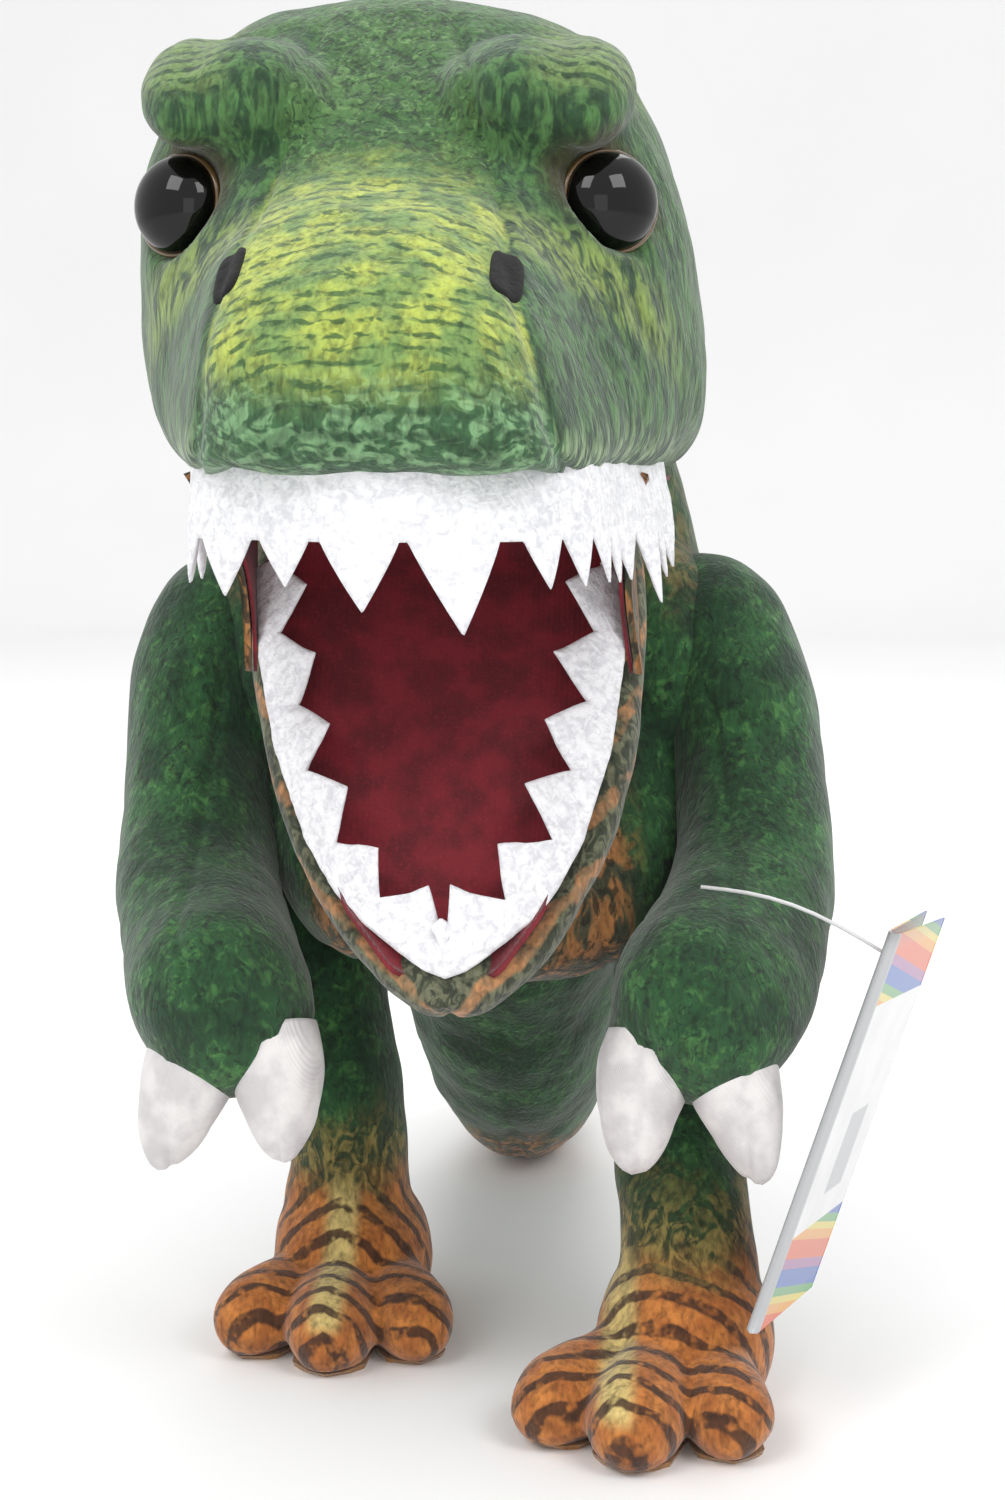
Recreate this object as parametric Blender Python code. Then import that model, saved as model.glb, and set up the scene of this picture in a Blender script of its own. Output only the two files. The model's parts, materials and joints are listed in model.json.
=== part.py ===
"""Stuffed theropod dinosaur: plush panels sewn over stuffing, with plastic eyes, felt teeth and a swing tag.

Metres, +Z up. The toy faces -Y and +X is its left side. It stands on two flat soles and the root of its tail.
Soft pieces are closed skins with a stuffing core inside; the seams that let the toy flex are its joints.
"""

import math

import bmesh
import bpy
import numpy as np
from mathutils import Matrix, Vector

# Fabric and clearances
SKIN = 0.0018
GAP = 0.0003
FELT = 0.0016
LINING = 0.0015
JOINT_GAP = 0.0006
CORE_GAP = 0.0006
LEAN = 0.08
LEAN_FROM = 0.085
WELD = 2e-6

# Head: (y, half width at the lip, half width at the top, lowest z, highest z), from nape to nose
HEAD_STATIONS = (
    (0.060, 0.012, 0.010, 0.224, 0.258),
    (0.055, 0.030, 0.026, 0.210, 0.272),
    (0.040, 0.046, 0.037, 0.198, 0.284),
    (0.018, 0.054, 0.042, 0.194, 0.293),
    (-0.004, 0.055, 0.045, 0.193, 0.296),
    (-0.024, 0.053, 0.045, 0.193, 0.289),
    (-0.044, 0.048, 0.038, 0.193, 0.270),
    (-0.066, 0.042, 0.028, 0.194, 0.252),
    (-0.090, 0.038, 0.026, 0.194, 0.241),
    (-0.106, 0.034, 0.023, 0.195, 0.232),
    (-0.116, 0.026, 0.017, 0.198, 0.222),
    (-0.120, 0.012, 0.008, 0.204, 0.214),
)
HEAD_SQUARE = 3.2
LIP_FRONT = -0.117
LIP_ROUND = 0.024
HEAD_SEAM_X = 0.025
NECK_PIVOT = Vector((0.0, 0.040, 0.207))
NAPE_RADIUS = 0.032
NAPE_HALF_WIDTH = 0.034
NECK_HOLE_HALF = 0.020

# Eyes, brows and nostrils
EYE_PLACE = Vector((0.0415, -0.0475, 0.248))
EYE_AIM = Vector((0.46, -0.87, 0.16)).normalized()
EYE_RADIUS = 0.0102
EYE_DOME = 0.0070
EYE_EDGE = 0.0012
EYE_STEM_RADIUS = 0.0021
EYE_STEM = 0.014
WASHER_RADIUS = 0.0070
WASHER_THICK = 0.0012
WASHER_DEPTH = 0.0040
# Brow ridges: (how far past the half width at the top of the head, y, z)
BROW_PATH = ((0.01055, -0.054, 0.263), (0.00400, -0.044, 0.268), (-0.00330, -0.026, 0.273),
             (-0.00500, -0.004, 0.276), (-0.00382, 0.012, 0.274))
BROW_RADII = (0.0040, 0.0100, 0.0125, 0.0110, 0.0050)
NOSTRIL_PLACE = Vector((0.0215, -0.099, 0.234))
NOSTRIL_AIM = Vector((0.50, -0.42, 0.76)).normalized()
NOSTRIL_HALF = (0.0026, 0.0060)

# Mouth and lower jaw, the jaw laid out along its own length and then dropped open about its hinge
TEETH_INSET = 0.0045
TEETH_TOP = 0.2020
TEETH_SEWN = 0.0085
ROOF_TOP = 0.2035
ROOF_UNDER = 0.1954
UPPER_TOOTH = 0.017
UPPER_BAND = 0.010
UPPER_TEETH = 13
JAW_HINGE = Vector((0.0, -0.012, 0.189))
JAW_DROP = math.radians(57)
JAW_STATIONS = (
    (0.000, 0.040, 0.020),
    (0.004, 0.042, 0.024),
    (0.028, 0.042, 0.025),
    (0.055, 0.038, 0.024),
    (0.080, 0.030, 0.021),
    (0.098, 0.020, 0.017),
    (0.108, 0.011, 0.012),
    (0.112, 0.004, 0.006),
)
JAW_SQUARE = 2.6
LINING_DROP = 0.0035
LINING_INSET = 0.0050
LOWER_TOOTH = 0.013
LOWER_BAND = 0.006
LOWER_TEETH = 11

# Torso: (z, y of the middle, half width, half depth), from the crotch to the neck
TORSO_STATIONS = (
    (0.083, 0.020, 0.012, 0.014),
    (0.086, 0.018, 0.030, 0.028),
    (0.096, 0.018, 0.042, 0.038),
    (0.115, 0.025, 0.049, 0.037),
    (0.135, 0.034, 0.050, 0.032),
    (0.152, 0.038, 0.049, 0.030),
    (0.170, 0.042, 0.047, 0.028),
    (0.190, 0.045, 0.043, 0.027),
    (0.208, 0.046, 0.040, 0.026),
)
NECK_TOP = 0.187
SHOULDER_PLANE = 0.0500
HIP_PLANE = 0.0360
HIP_TOP = 0.138
BELLY_SEAM_X = 0.026

# Limbs: each station is (x, y, z, radius across, radius along), from the body outwards
SHOULDER_PIVOT = Vector((0.052, 0.030, 0.147))
ARM_STATIONS = (
    (0.058, 0.036, 0.171, 0.006, 0.008),
    (0.061, 0.034, 0.165, 0.0130, 0.0185),
    (0.063, 0.029, 0.148, 0.0160, 0.0240),
    (0.063, 0.018, 0.127, 0.0160, 0.0215),
    (0.061, -0.006, 0.107, 0.0165, 0.0185),
    (0.054, -0.032, 0.095, 0.0172, 0.0178),
    (0.048, -0.050, 0.090, 0.0165, 0.0172),
    (0.045, -0.059, 0.088, 0.0115, 0.0120),
    (0.044, -0.062, 0.087, 0.0040, 0.0040),
)
ARM_PLANE = 0.0515
ARM_PLANE_LOW = 0.114
CLAW_LENGTH = 0.024
CLAW_SHORTER = 0.85
CLAW_RADIUS = 0.0088
CLAW_SPREAD = 0.0088
CLAW_ROOT = Vector((0.0465, -0.0525, 0.0750))
CLAW_SEWN = 0.008

HIP_PIVOT = Vector((0.040, 0.044, 0.104))
LEG_STATIONS = (
    (0.050, 0.056, 0.128, 0.005, 0.006),
    (0.051, 0.055, 0.121, 0.0130, 0.0125),
    (0.051, 0.050, 0.106, 0.0165, 0.0185),
    (0.049, 0.039, 0.089, 0.0175, 0.0210),
    (0.043, 0.023, 0.071, 0.0165, 0.0190),
    (0.036, 0.012, 0.054, 0.0140, 0.0155),
    (0.033, 0.006, 0.041, 0.0130, 0.0140),
    (0.033, 0.006, 0.034, 0.0125, 0.0135),
)
STRIDE = {"left": -0.030, "right": 0.014}
STEP_OUT = {"left": 0.014, "right": 0.0}
ANKLE_TOP = 0.036
FOOT_X = 0.032
FOOT_TURN = {"left": math.radians(-12), "right": 0.0}
FOOT_FORWARD = 0.004
FOOT_MIDDLE = 0.0135
FOOT_BALL = (0.0190, 0.0225, 0.0230)
TOE_RADIUS = 0.0092
TOE_REACH = 0.036
TOE_SPLAY = math.radians(23)
TOE_ROOT = 0.020
TOE_LOW = -0.0058
MIDDLE_TOE = (0.0012, 0.006)
SOLE = 0.0015

# Tail: (y, z of the middle, half width, half height)
TAIL_PIVOT = Vector((0.0, 0.058, 0.0))
TAIL_KNUCKLE = 0.034
TAIL_GAP = 0.0045
TAIL_STATIONS = (
    (0.036, 0.112, 0.028, 0.026),
    (0.058, 0.104, 0.032, 0.031),
    (0.082, 0.078, 0.030, 0.032),
    (0.108, 0.046, 0.026, 0.029),
    (0.138, 0.022, 0.021, 0.024),
    (0.168, 0.014, 0.016, 0.017),
    (0.194, 0.012, 0.010, 0.011),
    (0.208, 0.012, 0.005, 0.006),
    (0.212, 0.012, 0.002, 0.003),
)

# Swing tag
TAG_HOLE = Vector((0.0840, -0.056, 0.1025))
TAG_SIZE = (0.042, 0.085, 0.0012)
TAG_LEAN = math.radians(18)
TAG_TURN = math.radians(72)
TAG_HOLE_RADIUS = 0.0016
TAG_MARGIN = 0.005
TAG_EDGE = 0.007
PIN_RADIUS = 0.0004
PIN_START = Vector((0.0480, -0.044, 0.1130))
PIN_BOW = 0.003

SEGMENTS = 16
LIMB_SEGMENTS = 12
SIDES = (("left", 1.0), ("right", -1.0))


def clear_scene():
    for thing in list(bpy.data.objects):
        bpy.data.objects.remove(thing, do_unlink=True)


def material(name, colour, roughness, metallic=0.0):
    found = bpy.data.materials.get(name)
    if found:
        return found
    made = bpy.data.materials.new(name)
    made.use_nodes = True
    shader = made.node_tree.nodes["Principled BSDF"]
    shader.inputs["Base Color"].default_value = (*colour, 1.0)
    shader.inputs["Roughness"].default_value = roughness
    shader.inputs["Metallic"].default_value = metallic
    return made


MATERIALS = {
    "green_plush": ((0.07, 0.20, 0.07), 0.9),
    "snout_plush": ((0.30, 0.42, 0.10), 0.9),
    "belly_plush": ((0.42, 0.22, 0.09), 0.9),
    "foot_plush": ((0.60, 0.28, 0.08), 0.9),
    "mouth_fabric": ((0.18, 0.01, 0.02), 0.85),
    "white_felt": ((0.75, 0.75, 0.78), 0.95),
    "black_felt": ((0.01, 0.01, 0.01), 0.95),
    "satin": ((0.60, 0.57, 0.57), 0.5),
    "eye_plastic": ((0.005, 0.005, 0.005), 0.05),
    "clear_plastic": ((0.80, 0.80, 0.80), 0.3),
    "stuffing": ((0.85, 0.85, 0.83), 1.0),
    "card": ((0.75, 0.75, 0.75), 0.5),
}


def mesh_object(name, points, faces):
    mesh = bpy.data.meshes.new(name)
    mesh.from_pydata([tuple(p) for p in points], [], faces)
    mesh.validate()
    made = bpy.data.objects.new(name, mesh)
    bpy.context.scene.collection.objects.link(made)
    return made


def tube(name, rings):
    """A closed skin through rings of equal point count, each end closed by one flat face."""
    rings = np.asarray(rings)
    count, around = rings.shape[:2]
    faces = []
    for i in range(count - 1):
        for j in range(around):
            k = (j + 1) % around
            a, b = i * around, (i + 1) * around
            faces.append((a + j, a + k, b + k, b + j))
    faces.append(tuple(range(around))[::-1])
    last = (count - 1) * around
    faces.append(tuple(range(last, last + around)))
    made = mesh_object(name, rings.reshape(-1, 3), faces)
    outward = signed_volume(made) > 0
    if not outward:
        made.data.flip_normals()
    return made


def signed_volume(thing):
    mesh = thing.data
    mesh.calc_loop_triangles()
    points = np.array([v.co for v in mesh.vertices])
    corners = points[np.array([t.vertices for t in mesh.loop_triangles])]
    return float(np.einsum("ij,ij->", corners[:, 0], np.cross(corners[:, 1], corners[:, 2])))


def superellipse(segments, square):
    """Unit points of |x|^n + |y|^n = 1, n = square, starting on +x."""
    turn = np.arange(segments) * (2 * math.pi / segments) + math.pi / segments
    c, s = np.cos(turn), np.sin(turn)
    power = 2.0 / square
    return np.sign(c) * np.abs(c) ** power, np.sign(s) * np.abs(s) ** power


def stations_moved(stations, column, grow):
    """Moves the two end stations along `column` by `grow` outwards, so a smaller copy keeps its wall there."""
    moved = [list(row) for row in stations]
    way = np.sign(moved[-1][column] - moved[0][column])
    moved[0][column] -= way * grow
    moved[-1][column] += way * grow
    return moved


def head_loft(name, grow=0.0):
    """Rings across Y whose width tapers from the lip to the top of the head."""
    x, z = superellipse(SEGMENTS, HEAD_SQUARE)
    rings = []
    for y, low_half, top_half, low, top in stations_moved(HEAD_STATIONS, 0, grow):
        half_height = max((top - low) / 2 + grow, 0.001)
        share = (z + 1) / 2
        half = np.maximum(low_half + (top_half - low_half) * share + grow, 0.001)
        rings.append(np.stack([x * half, np.full_like(x, y), (low + top) / 2 + z * half_height], 1))
    return tube(name, rings)


def sweep(name, stations, grow=0.0, segments=LIMB_SEGMENTS, square=2.0, sign=1.0):
    """Rings square to the path through the stations, wide across X and deep along the path's other side."""
    rows = np.array(stations, float)
    rows[:, 0] *= sign
    path = rows[:, :3]
    tangents = np.gradient(path, axis=0)
    tangents /= np.linalg.norm(tangents, axis=1)[:, None]
    path = path.copy()
    path[0] -= tangents[0] * grow
    path[-1] += tangents[-1] * grow
    u, v = superellipse(segments, square)
    rings = []
    for centre, tangent, radii in zip(path, tangents, rows[:, 3:]):
        across = np.array([1.0, 0.0, 0.0]) - tangent * tangent[0]
        across /= np.linalg.norm(across)
        along = np.cross(tangent, across)
        wide, deep = np.maximum(radii + grow, 0.0008)
        rings.append(centre + np.outer(u * wide, across) + np.outer(v * deep, along))
    return tube(name, rings)


def flat_rings(name, stations, grow=0.0):
    """Level rings up the torso."""
    u, v = superellipse(SEGMENTS, 2.2)
    rings = []
    for z, middle, wide, deep in stations_moved(stations, 0, grow):
        rings.append(np.stack([u * (wide + grow), middle + v * (deep + grow), np.full_like(u, z)], 1))
    return tube(name, rings)


def upright_rings(name, stations, grow=0.0):
    """Rings along the tail, square to its middle line."""
    rows = [(0.0, y, z, wide, deep) for y, z, wide, deep in stations]
    return sweep(name, rows, grow, SEGMENTS)


def box(name, low, high):
    x0, y0, z0 = low
    x1, y1, z1 = high
    points = [(x0, y0, z0), (x1, y0, z0), (x1, y1, z0), (x0, y1, z0),
              (x0, y0, z1), (x1, y0, z1), (x1, y1, z1), (x0, y1, z1)]
    faces = [(3, 2, 1, 0), (4, 5, 6, 7), (0, 1, 5, 4), (1, 2, 6, 5), (2, 3, 7, 6), (3, 0, 4, 7)]
    return mesh_object(name, points, faces)


def lathe(name, profile, place, aim, segments=LIMB_SEGMENTS):
    """A profile of (distance along aim, radius) turned about aim."""
    turn = np.arange(segments) * (2 * math.pi / segments)
    side = aim.orthogonal().normalized()
    other = aim.cross(side)
    rings = []
    for along, radius in profile:
        centre = np.array(place + aim * along)
        rings.append(centre + radius * (np.outer(np.cos(turn), side) + np.outer(np.sin(turn), other)))
    return tube(name, rings)


def rod(name, start, end, radius, segments=24):
    """A plain cylinder between two points."""
    way = end - start
    return lathe(name, ((0.0, radius), (way.length, radius)), start, way.normalized(), segments)


def combine(thing, other, how):
    """Applies one Boolean to thing and removes the other object."""
    step = thing.modifiers.new(how, "BOOLEAN")
    step.operation = how
    step.solver = "EXACT"
    step.object = other
    bpy.context.view_layer.update()
    graph = bpy.context.evaluated_depsgraph_get()
    made = bpy.data.meshes.new_from_object(thing.evaluated_get(graph))
    thing.modifiers.clear()
    old = thing.data
    thing.data = made
    weld(made)
    bpy.data.meshes.remove(old)
    bpy.data.objects.remove(other, do_unlink=True)
    return thing


def weld(mesh):
    """Joins the points that a Boolean leaves less than a micrometre apart, as triangles."""
    shape = bmesh.new()
    shape.from_mesh(mesh)
    bmesh.ops.triangulate(shape, faces=shape.faces[:])
    bmesh.ops.remove_doubles(shape, verts=shape.verts[:], dist=WELD)
    bmesh.ops.dissolve_degenerate(shape, edges=shape.edges[:], dist=WELD)
    shape.to_mesh(mesh)
    shape.free()


def cut(thing, other):
    return combine(thing, other, "DIFFERENCE")


def join(thing, other):
    return combine(thing, other, "UNION")


def keep(thing, other):
    return combine(thing, other, "INTERSECT")


def copy(thing, name):
    made = bpy.data.objects.new(name, thing.data.copy())
    bpy.context.scene.collection.objects.link(made)
    return made


def finish(thing, finish_name, body, leaning=True):
    """Leans the piece with the toy, gives it its material and smooth shading, and hands it to its body."""
    if leaning:
        for vertex in thing.data.vertices:
            vertex.co.x += lean_at(vertex.co.z)
    thing.data.materials.clear()
    thing.data.materials.append(material(finish_name, *MATERIALS[finish_name]))
    thing.data.shade_smooth()
    thing.data.set_sharp_from_angle(angle=math.radians(50))
    parent = BODIES[body]
    thing.parent = parent
    thing.matrix_parent_inverse = parent.matrix_world.inverted()
    return thing


def lean_at(z):
    return -LEAN * max(z - LEAN_FROM, 0.0)


BODIES = {}


def body_empty(name, place, parent=None):
    made = bpy.data.objects.new("axis_" + name, None)
    bpy.context.scene.collection.objects.link(made)
    made.location = place
    bpy.context.view_layer.update()
    if parent:
        made.parent = BODIES[parent]
        made.matrix_parent_inverse = BODIES[parent].matrix_world.inverted()
        bpy.context.view_layer.update()
    BODIES[name] = made


def leaned(place):
    return Vector((place.x + lean_at(place.z), place.y, place.z))


def make_bodies():
    body_empty("torso", Vector((0.0, 0.0, 0.0)))
    body_empty("head", leaned(NECK_PIVOT), "torso")
    body_empty("jaw", leaned(JAW_HINGE), "head")
    body_empty("tail", TAIL_PIVOT, "torso")
    for side, sign in SIDES:
        mirrored = Vector((sign, 1.0, 1.0))
        body_empty("arm_" + side, leaned(SHOULDER_PIVOT * mirrored), "torso")
        body_empty("leg_" + side, leaned(HIP_PIVOT * mirrored), "torso")
    body_empty("tag", TAG_HOLE, "arm_left")


def mirrored(place, sign):
    return Vector((place.x * sign, place.y, place.z))


def nape(name, grow):
    half = NAPE_HALF_WIDTH + grow
    start = Vector((-half, NECK_PIVOT.y, NECK_PIVOT.z))
    end = Vector((half, NECK_PIVOT.y, NECK_PIVOT.z))
    return rod(name, start, end, NAPE_RADIUS + grow, 20)


def head_form(name, grow=0.0):
    return join(head_loft(name, grow), nape("nape", grow))


def mouth_outline(inset):
    """Half width of the mouth's roof at y, a chosen distance inside the lip."""
    rows = np.array(HEAD_STATIONS)[::-1]
    first, last = LIP_FRONT + inset, JAW_HINGE.y - 0.004
    y = first + (last - first) * np.linspace(0.0, 1.0, 14) ** 2
    half = np.interp(y, rows[:, 0], rows[:, 1]) - inset
    across = 1.0 - np.clip((y - first) / LIP_ROUND, 0.0, 1.0)
    return y, half * np.sqrt(1.0 - across ** 2)


def roof_prism(name, inset, low, high):
    y, half = mouth_outline(inset)
    left = [(w, v) for v, w in zip(y, half)]
    right = [(-w, v) for v, w in zip(y[1:], half[1:])][::-1]
    return prism(name, left + right, low, high)


def prism(name, outline, low, high):
    """A flat outline in X and Y pulled up from low to high."""
    count = len(outline)
    points = [(x, y, low) for x, y in outline] + [(x, y, high) for x, y in outline]
    faces = [tuple(range(count))[::-1], tuple(range(count, 2 * count))]
    faces += [(i, (i + 1) % count, count + (i + 1) % count, count + i) for i in range(count)]
    made = mesh_object(name, points, faces)
    if signed_volume(made) < 0:
        made.data.flip_normals()
    return made


def eye_cutter(name, place, aim):
    """The room an eye takes in skin and stuffing: its seat, its stem and its washer."""
    seat = EYE_RADIUS + GAP
    stem = EYE_STEM_RADIUS + GAP
    hub = WASHER_RADIUS + GAP
    deep = WASHER_DEPTH + WASHER_THICK + GAP
    profile = ((0.02, seat), (-GAP, seat), (-GAP, stem), (GAP - WASHER_DEPTH, stem),
               (GAP - WASHER_DEPTH, hub), (-deep, hub), (-deep, stem), (-EYE_STEM - GAP, stem))
    return lathe(name, profile, place, aim, 14)


def make_eye(side, sign):
    place, aim = mirrored(EYE_PLACE, sign), mirrored(EYE_AIM, sign)
    arc = np.radians(np.linspace(6, 90, 7))
    dome = [(EYE_DOME * math.sin(a) + EYE_EDGE, EYE_RADIUS * math.cos(a)) for a in arc[:-1]]
    profile = [(-EYE_STEM, EYE_STEM_RADIUS), (0.0, EYE_STEM_RADIUS), (0.0, EYE_RADIUS)] + dome
    profile.append((EYE_DOME + EYE_EDGE, 0.0008))
    shift = Vector((lean_at(EYE_PLACE.z), 0.0, 0.0))
    eye = lathe("eye_" + side, profile, place + shift, aim, 14)
    finish(eye, "eye_plastic", "head", leaning=False)
    outer, bore = WASHER_RADIUS, EYE_STEM_RADIUS + GAP
    far = -WASHER_DEPTH - WASHER_THICK
    washer = lathe("eye_washer_" + side, ((far, outer), (-WASHER_DEPTH, outer)), place + shift, aim, 14)
    hole = lathe("hole", ((far - 0.001, bore), (0.001 - WASHER_DEPTH, bore)), place + shift, aim, 14)
    finish(cut(washer, hole), "clear_plastic", "head", leaning=False)


def make_head():
    skin = cut(head_form("skin"), head_form("inside", -SKIN))
    hole = NECK_HOLE_HALF
    low = NECK_PIVOT.z - NAPE_RADIUS - 0.01
    cut(skin, box("opening", (-hole, NECK_PIVOT.y - hole, low), (hole, NECK_PIVOT.y + hole, low + 0.025)))
    cut(skin, roof_prism("roof", TEETH_INSET + FELT + GAP, 0.15, ROOF_TOP))
    core = head_form("head_stuffing", -SKIN - CORE_GAP)
    for side, sign in SIDES:
        for thing in (skin, core):
            aim = mirrored(EYE_AIM, sign)
            place = mirrored(EYE_PLACE, sign)
            shift = Vector((lean_at(EYE_PLACE.z), 0.0, 0.0))
            cutter = eye_cutter("socket", place + shift, aim)
            for vertex in cutter.data.vertices:
                vertex.co.x -= lean_at(vertex.co.z)
            cut(thing, cutter)
    far = 0.2
    seam = HEAD_SEAM_X
    top = keep(copy(skin, "head_top_panel"), box("band", (-seam, -far, 0.0), (seam, far, 0.4)))
    finish(top, "snout_plush", "head")
    for side, sign in SIDES:
        inner = (seam + GAP) * sign
        low, high = min(inner, far * sign), max(inner, far * sign)
        panel = keep(copy(skin, "head_side_" + side), box("half", (low, -far, 0.0), (high, far, 0.4)))
        finish(panel, "green_plush", "head")
    bpy.data.objects.remove(skin, do_unlink=True)
    finish(core, "stuffing", "head")


def make_brow(side, sign):
    head = np.array(HEAD_STATIONS)[::-1]
    rows = []
    for (past, y, z), radius in zip(BROW_PATH, BROW_RADII):
        rows.append((past + float(np.interp(y, head[:, 0], head[:, 2])), y, z, radius, radius))
    brow = sweep("brow_" + side, rows, 0.0, 12, 2.0, sign)
    cut(brow, head_form("head", GAP))
    place = mirrored(EYE_PLACE, sign)
    seat = EYE_RADIUS + GAP
    top = EYE_DOME + EYE_EDGE + GAP
    room = ((-0.012, seat), (0.004, seat), (0.8 * top, 0.75 * seat), (top, 0.3 * seat))
    cut(brow, lathe("room", room, place, mirrored(EYE_AIM, sign)))
    finish(brow, "green_plush", "head")


def make_nostril(side, sign):
    place, aim = mirrored(NOSTRIL_PLACE, sign), mirrored(NOSTRIL_AIM, sign)
    wide, tall = NOSTRIL_HALF
    patch = lathe("nostril_" + side, ((-0.012, 1.0), (0.012, 1.0)), Vector(), Vector((0.0, 0.0, 1.0)), 14)
    turn = aim.to_track_quat("Z", "Y").to_matrix().to_4x4()
    for vertex in patch.data.vertices:
        vertex.co.x *= wide
        vertex.co.y *= tall
    patch.data.transform(Matrix.Translation(place) @ turn)
    keep(patch, head_form("outer", GAP + FELT))
    cut(patch, head_form("inner", GAP))
    finish(patch, "black_felt", "head")


def saw(count, band, tooth, samples):
    """Hanging height along a strip: a band with pointed teeth, from 0 at one end to 1 at the other."""
    share = np.linspace(0.0, 1.0, samples)
    wave = 1.0 - np.abs(2.0 * ((share * count) % 1.0) - 1.0)
    return band + (tooth - band) * wave


def strip(name, path, rises):
    """A standing felt strip: path points on its middle line, raised by `rises`, one felt thick."""
    path = np.array(path)
    tangent = np.gradient(path, axis=0)
    tangent /= np.linalg.norm(tangent, axis=1)[:, None]
    side = np.cross(tangent, np.array([0.0, 0.0, 1.0]))
    side /= np.linalg.norm(side, axis=1)[:, None]
    tips = path + np.outer(rises, [0.0, 0.0, 1.0])
    half = side * FELT / 2
    rings = np.stack([path - half, path + half, tips + half, tips - half], 1)
    return tube(name, rings)


def make_upper_mouth():
    lining = roof_prism("palate_lining", TEETH_INSET + FELT + 2 * GAP, 0.175, ROOF_TOP - 2 * GAP)
    floor = head_form("head", -SKIN)
    keep(lining, box("slab", (-0.1, -0.2, 0.180), (0.1, 0.1, ROOF_UNDER)))
    cut(lining, floor)
    cut(lining, box("thin", (-0.1, -0.2, 0.170), (0.1, 0.1, ROOF_UNDER - LINING)))
    finish(lining, "mouth_fabric", "head")
    y, half = mouth_outline(TEETH_INSET)
    left = np.stack([half, y], 1)
    right = np.stack([-half[1:], y[1:]], 1)[::-1]
    fine = resample(np.concatenate([right, left]), 4 * UPPER_TEETH + 1)
    path = np.column_stack([fine, np.full(len(fine), TEETH_TOP)])
    rises = -(TEETH_SEWN + saw(UPPER_TEETH, UPPER_BAND, UPPER_TOOTH, len(fine)))
    teeth = strip("upper_teeth", path, rises)
    cut(teeth, head_form("head", GAP))
    finish(teeth, "white_felt", "head")


def resample(points, count):
    steps = np.linalg.norm(np.diff(points, axis=0), axis=1)
    run = np.concatenate([[0.0], np.cumsum(steps)])
    want = np.linspace(0.0, run[-1], count)
    return np.column_stack([np.interp(want, run, points[:, k]) for k in range(points.shape[1])])


def jaw_loft(name, grow=0.0):
    """The closed jaw, lying flat: +Y back to the hinge, rim at z = 0 and the chin below it."""
    u, v = superellipse(SEGMENTS, JAW_SQUARE)
    rings = []
    for along, half, deep in stations_moved(JAW_STATIONS, 0, grow):
        wide = max(half + grow, 0.0008)
        tall = max(deep / 2 + grow, 0.0008)
        rings.append(np.stack([u * wide, np.full_like(u, -along), v * tall - deep / 2], 1))
    return tube(name, rings)


def drop_jaw(thing):
    """Turns a piece from the closed layout down to the open jaw, about the hinge."""
    thing.data.transform(Matrix.Translation(JAW_HINGE) @ Matrix.Rotation(JAW_DROP, 4, "X"))
    return thing


def jaw_outline(inset, start=0.006):
    rows = np.array(JAW_STATIONS)
    along = np.linspace(start, rows[-1, 0] - inset - 0.001, 14)
    half = np.interp(along, rows[:, 0], rows[:, 1]) - inset
    return along, np.maximum(half, 0.0010)


def jaw_prism(name, inset, low, high, start=0.006):
    along, half = jaw_outline(inset, start)
    left = [(w, -u) for u, w in zip(along, half)]
    right = [(-w, -u) for u, w in zip(along, half)][::-1]
    return prism(name, left + right, low, high)


def make_jaw():
    skin = cut(jaw_loft("skin"), jaw_loft("inside", -SKIN))
    cut(skin, jaw_prism("mouth", LINING_INSET, -LINING_DROP - LINING - GAP, 0.02))
    for side, sign in SIDES:
        low, high = (GAP / 2, 0.2) if sign > 0 else (-0.2, -GAP / 2)
        half = keep(copy(skin, "jaw_skin_" + side), box("half", (low, -0.2, -0.1), (high, 0.1, 0.1)))
        finish(drop_jaw(half), "belly_plush", "jaw")
    bpy.data.objects.remove(skin, do_unlink=True)
    core = jaw_loft("jaw_stuffing", -SKIN - CORE_GAP)
    cut(core, box("above", (-0.1, -0.2, -LINING_DROP - LINING - GAP), (0.1, 0.1, 0.1)))
    finish(drop_jaw(core), "stuffing", "jaw")
    lining = jaw_prism("jaw_lining", LINING_INSET + GAP, -LINING_DROP - LINING, -LINING_DROP)
    finish(drop_jaw(lining), "mouth_fabric", "jaw")
    along, half = jaw_outline(LINING_INSET + GAP + FELT, 0.022)
    left = np.stack([half, -along], 1)
    fine = resample(np.concatenate([left, (left * [-1.0, 1.0])[::-1]]), 4 * LOWER_TEETH + 1)
    path = np.column_stack([fine, np.full(len(fine), GAP - LINING_DROP)])
    rises = saw(LOWER_TEETH, LOWER_BAND, LOWER_TOOTH, len(fine))
    finish(drop_jaw(strip("lower_teeth", path, rises)), "white_felt", "jaw")


def torso_cutters(thing, grow):
    """Room for the neck's knuckle, the shoulders, the hips and the tail's knuckle."""
    gap = JOINT_GAP + grow
    cut(thing, nape("neck_room", gap))
    cut(thing, box("above_neck", (-0.1, -0.1, NECK_TOP - grow), (0.1, 0.15, 0.3)))
    for _, sign in SIDES:
        for plane, low in ((SHOULDER_PLANE - grow, HIP_TOP), (HIP_PLANE - grow, 0.0)):
            top = 0.251 if low else HIP_TOP + JOINT_GAP
            ends = sorted((plane * sign, 0.2 * sign))
            cut(thing, box("side", (ends[0], -0.1, low), (ends[1], 0.15, top)))
    knuckle = TAIL_KNUCKLE + TAIL_GAP + grow
    cut(thing, rod("tail_room", TAIL_PIVOT, TAIL_PIVOT + Vector((0.0, 0.0, 0.142)), knuckle, 20))
    cut(thing, box("behind", (-0.1, TAIL_PIVOT.y - grow, -0.01), (0.1, 0.21, 0.1413)))


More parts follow.
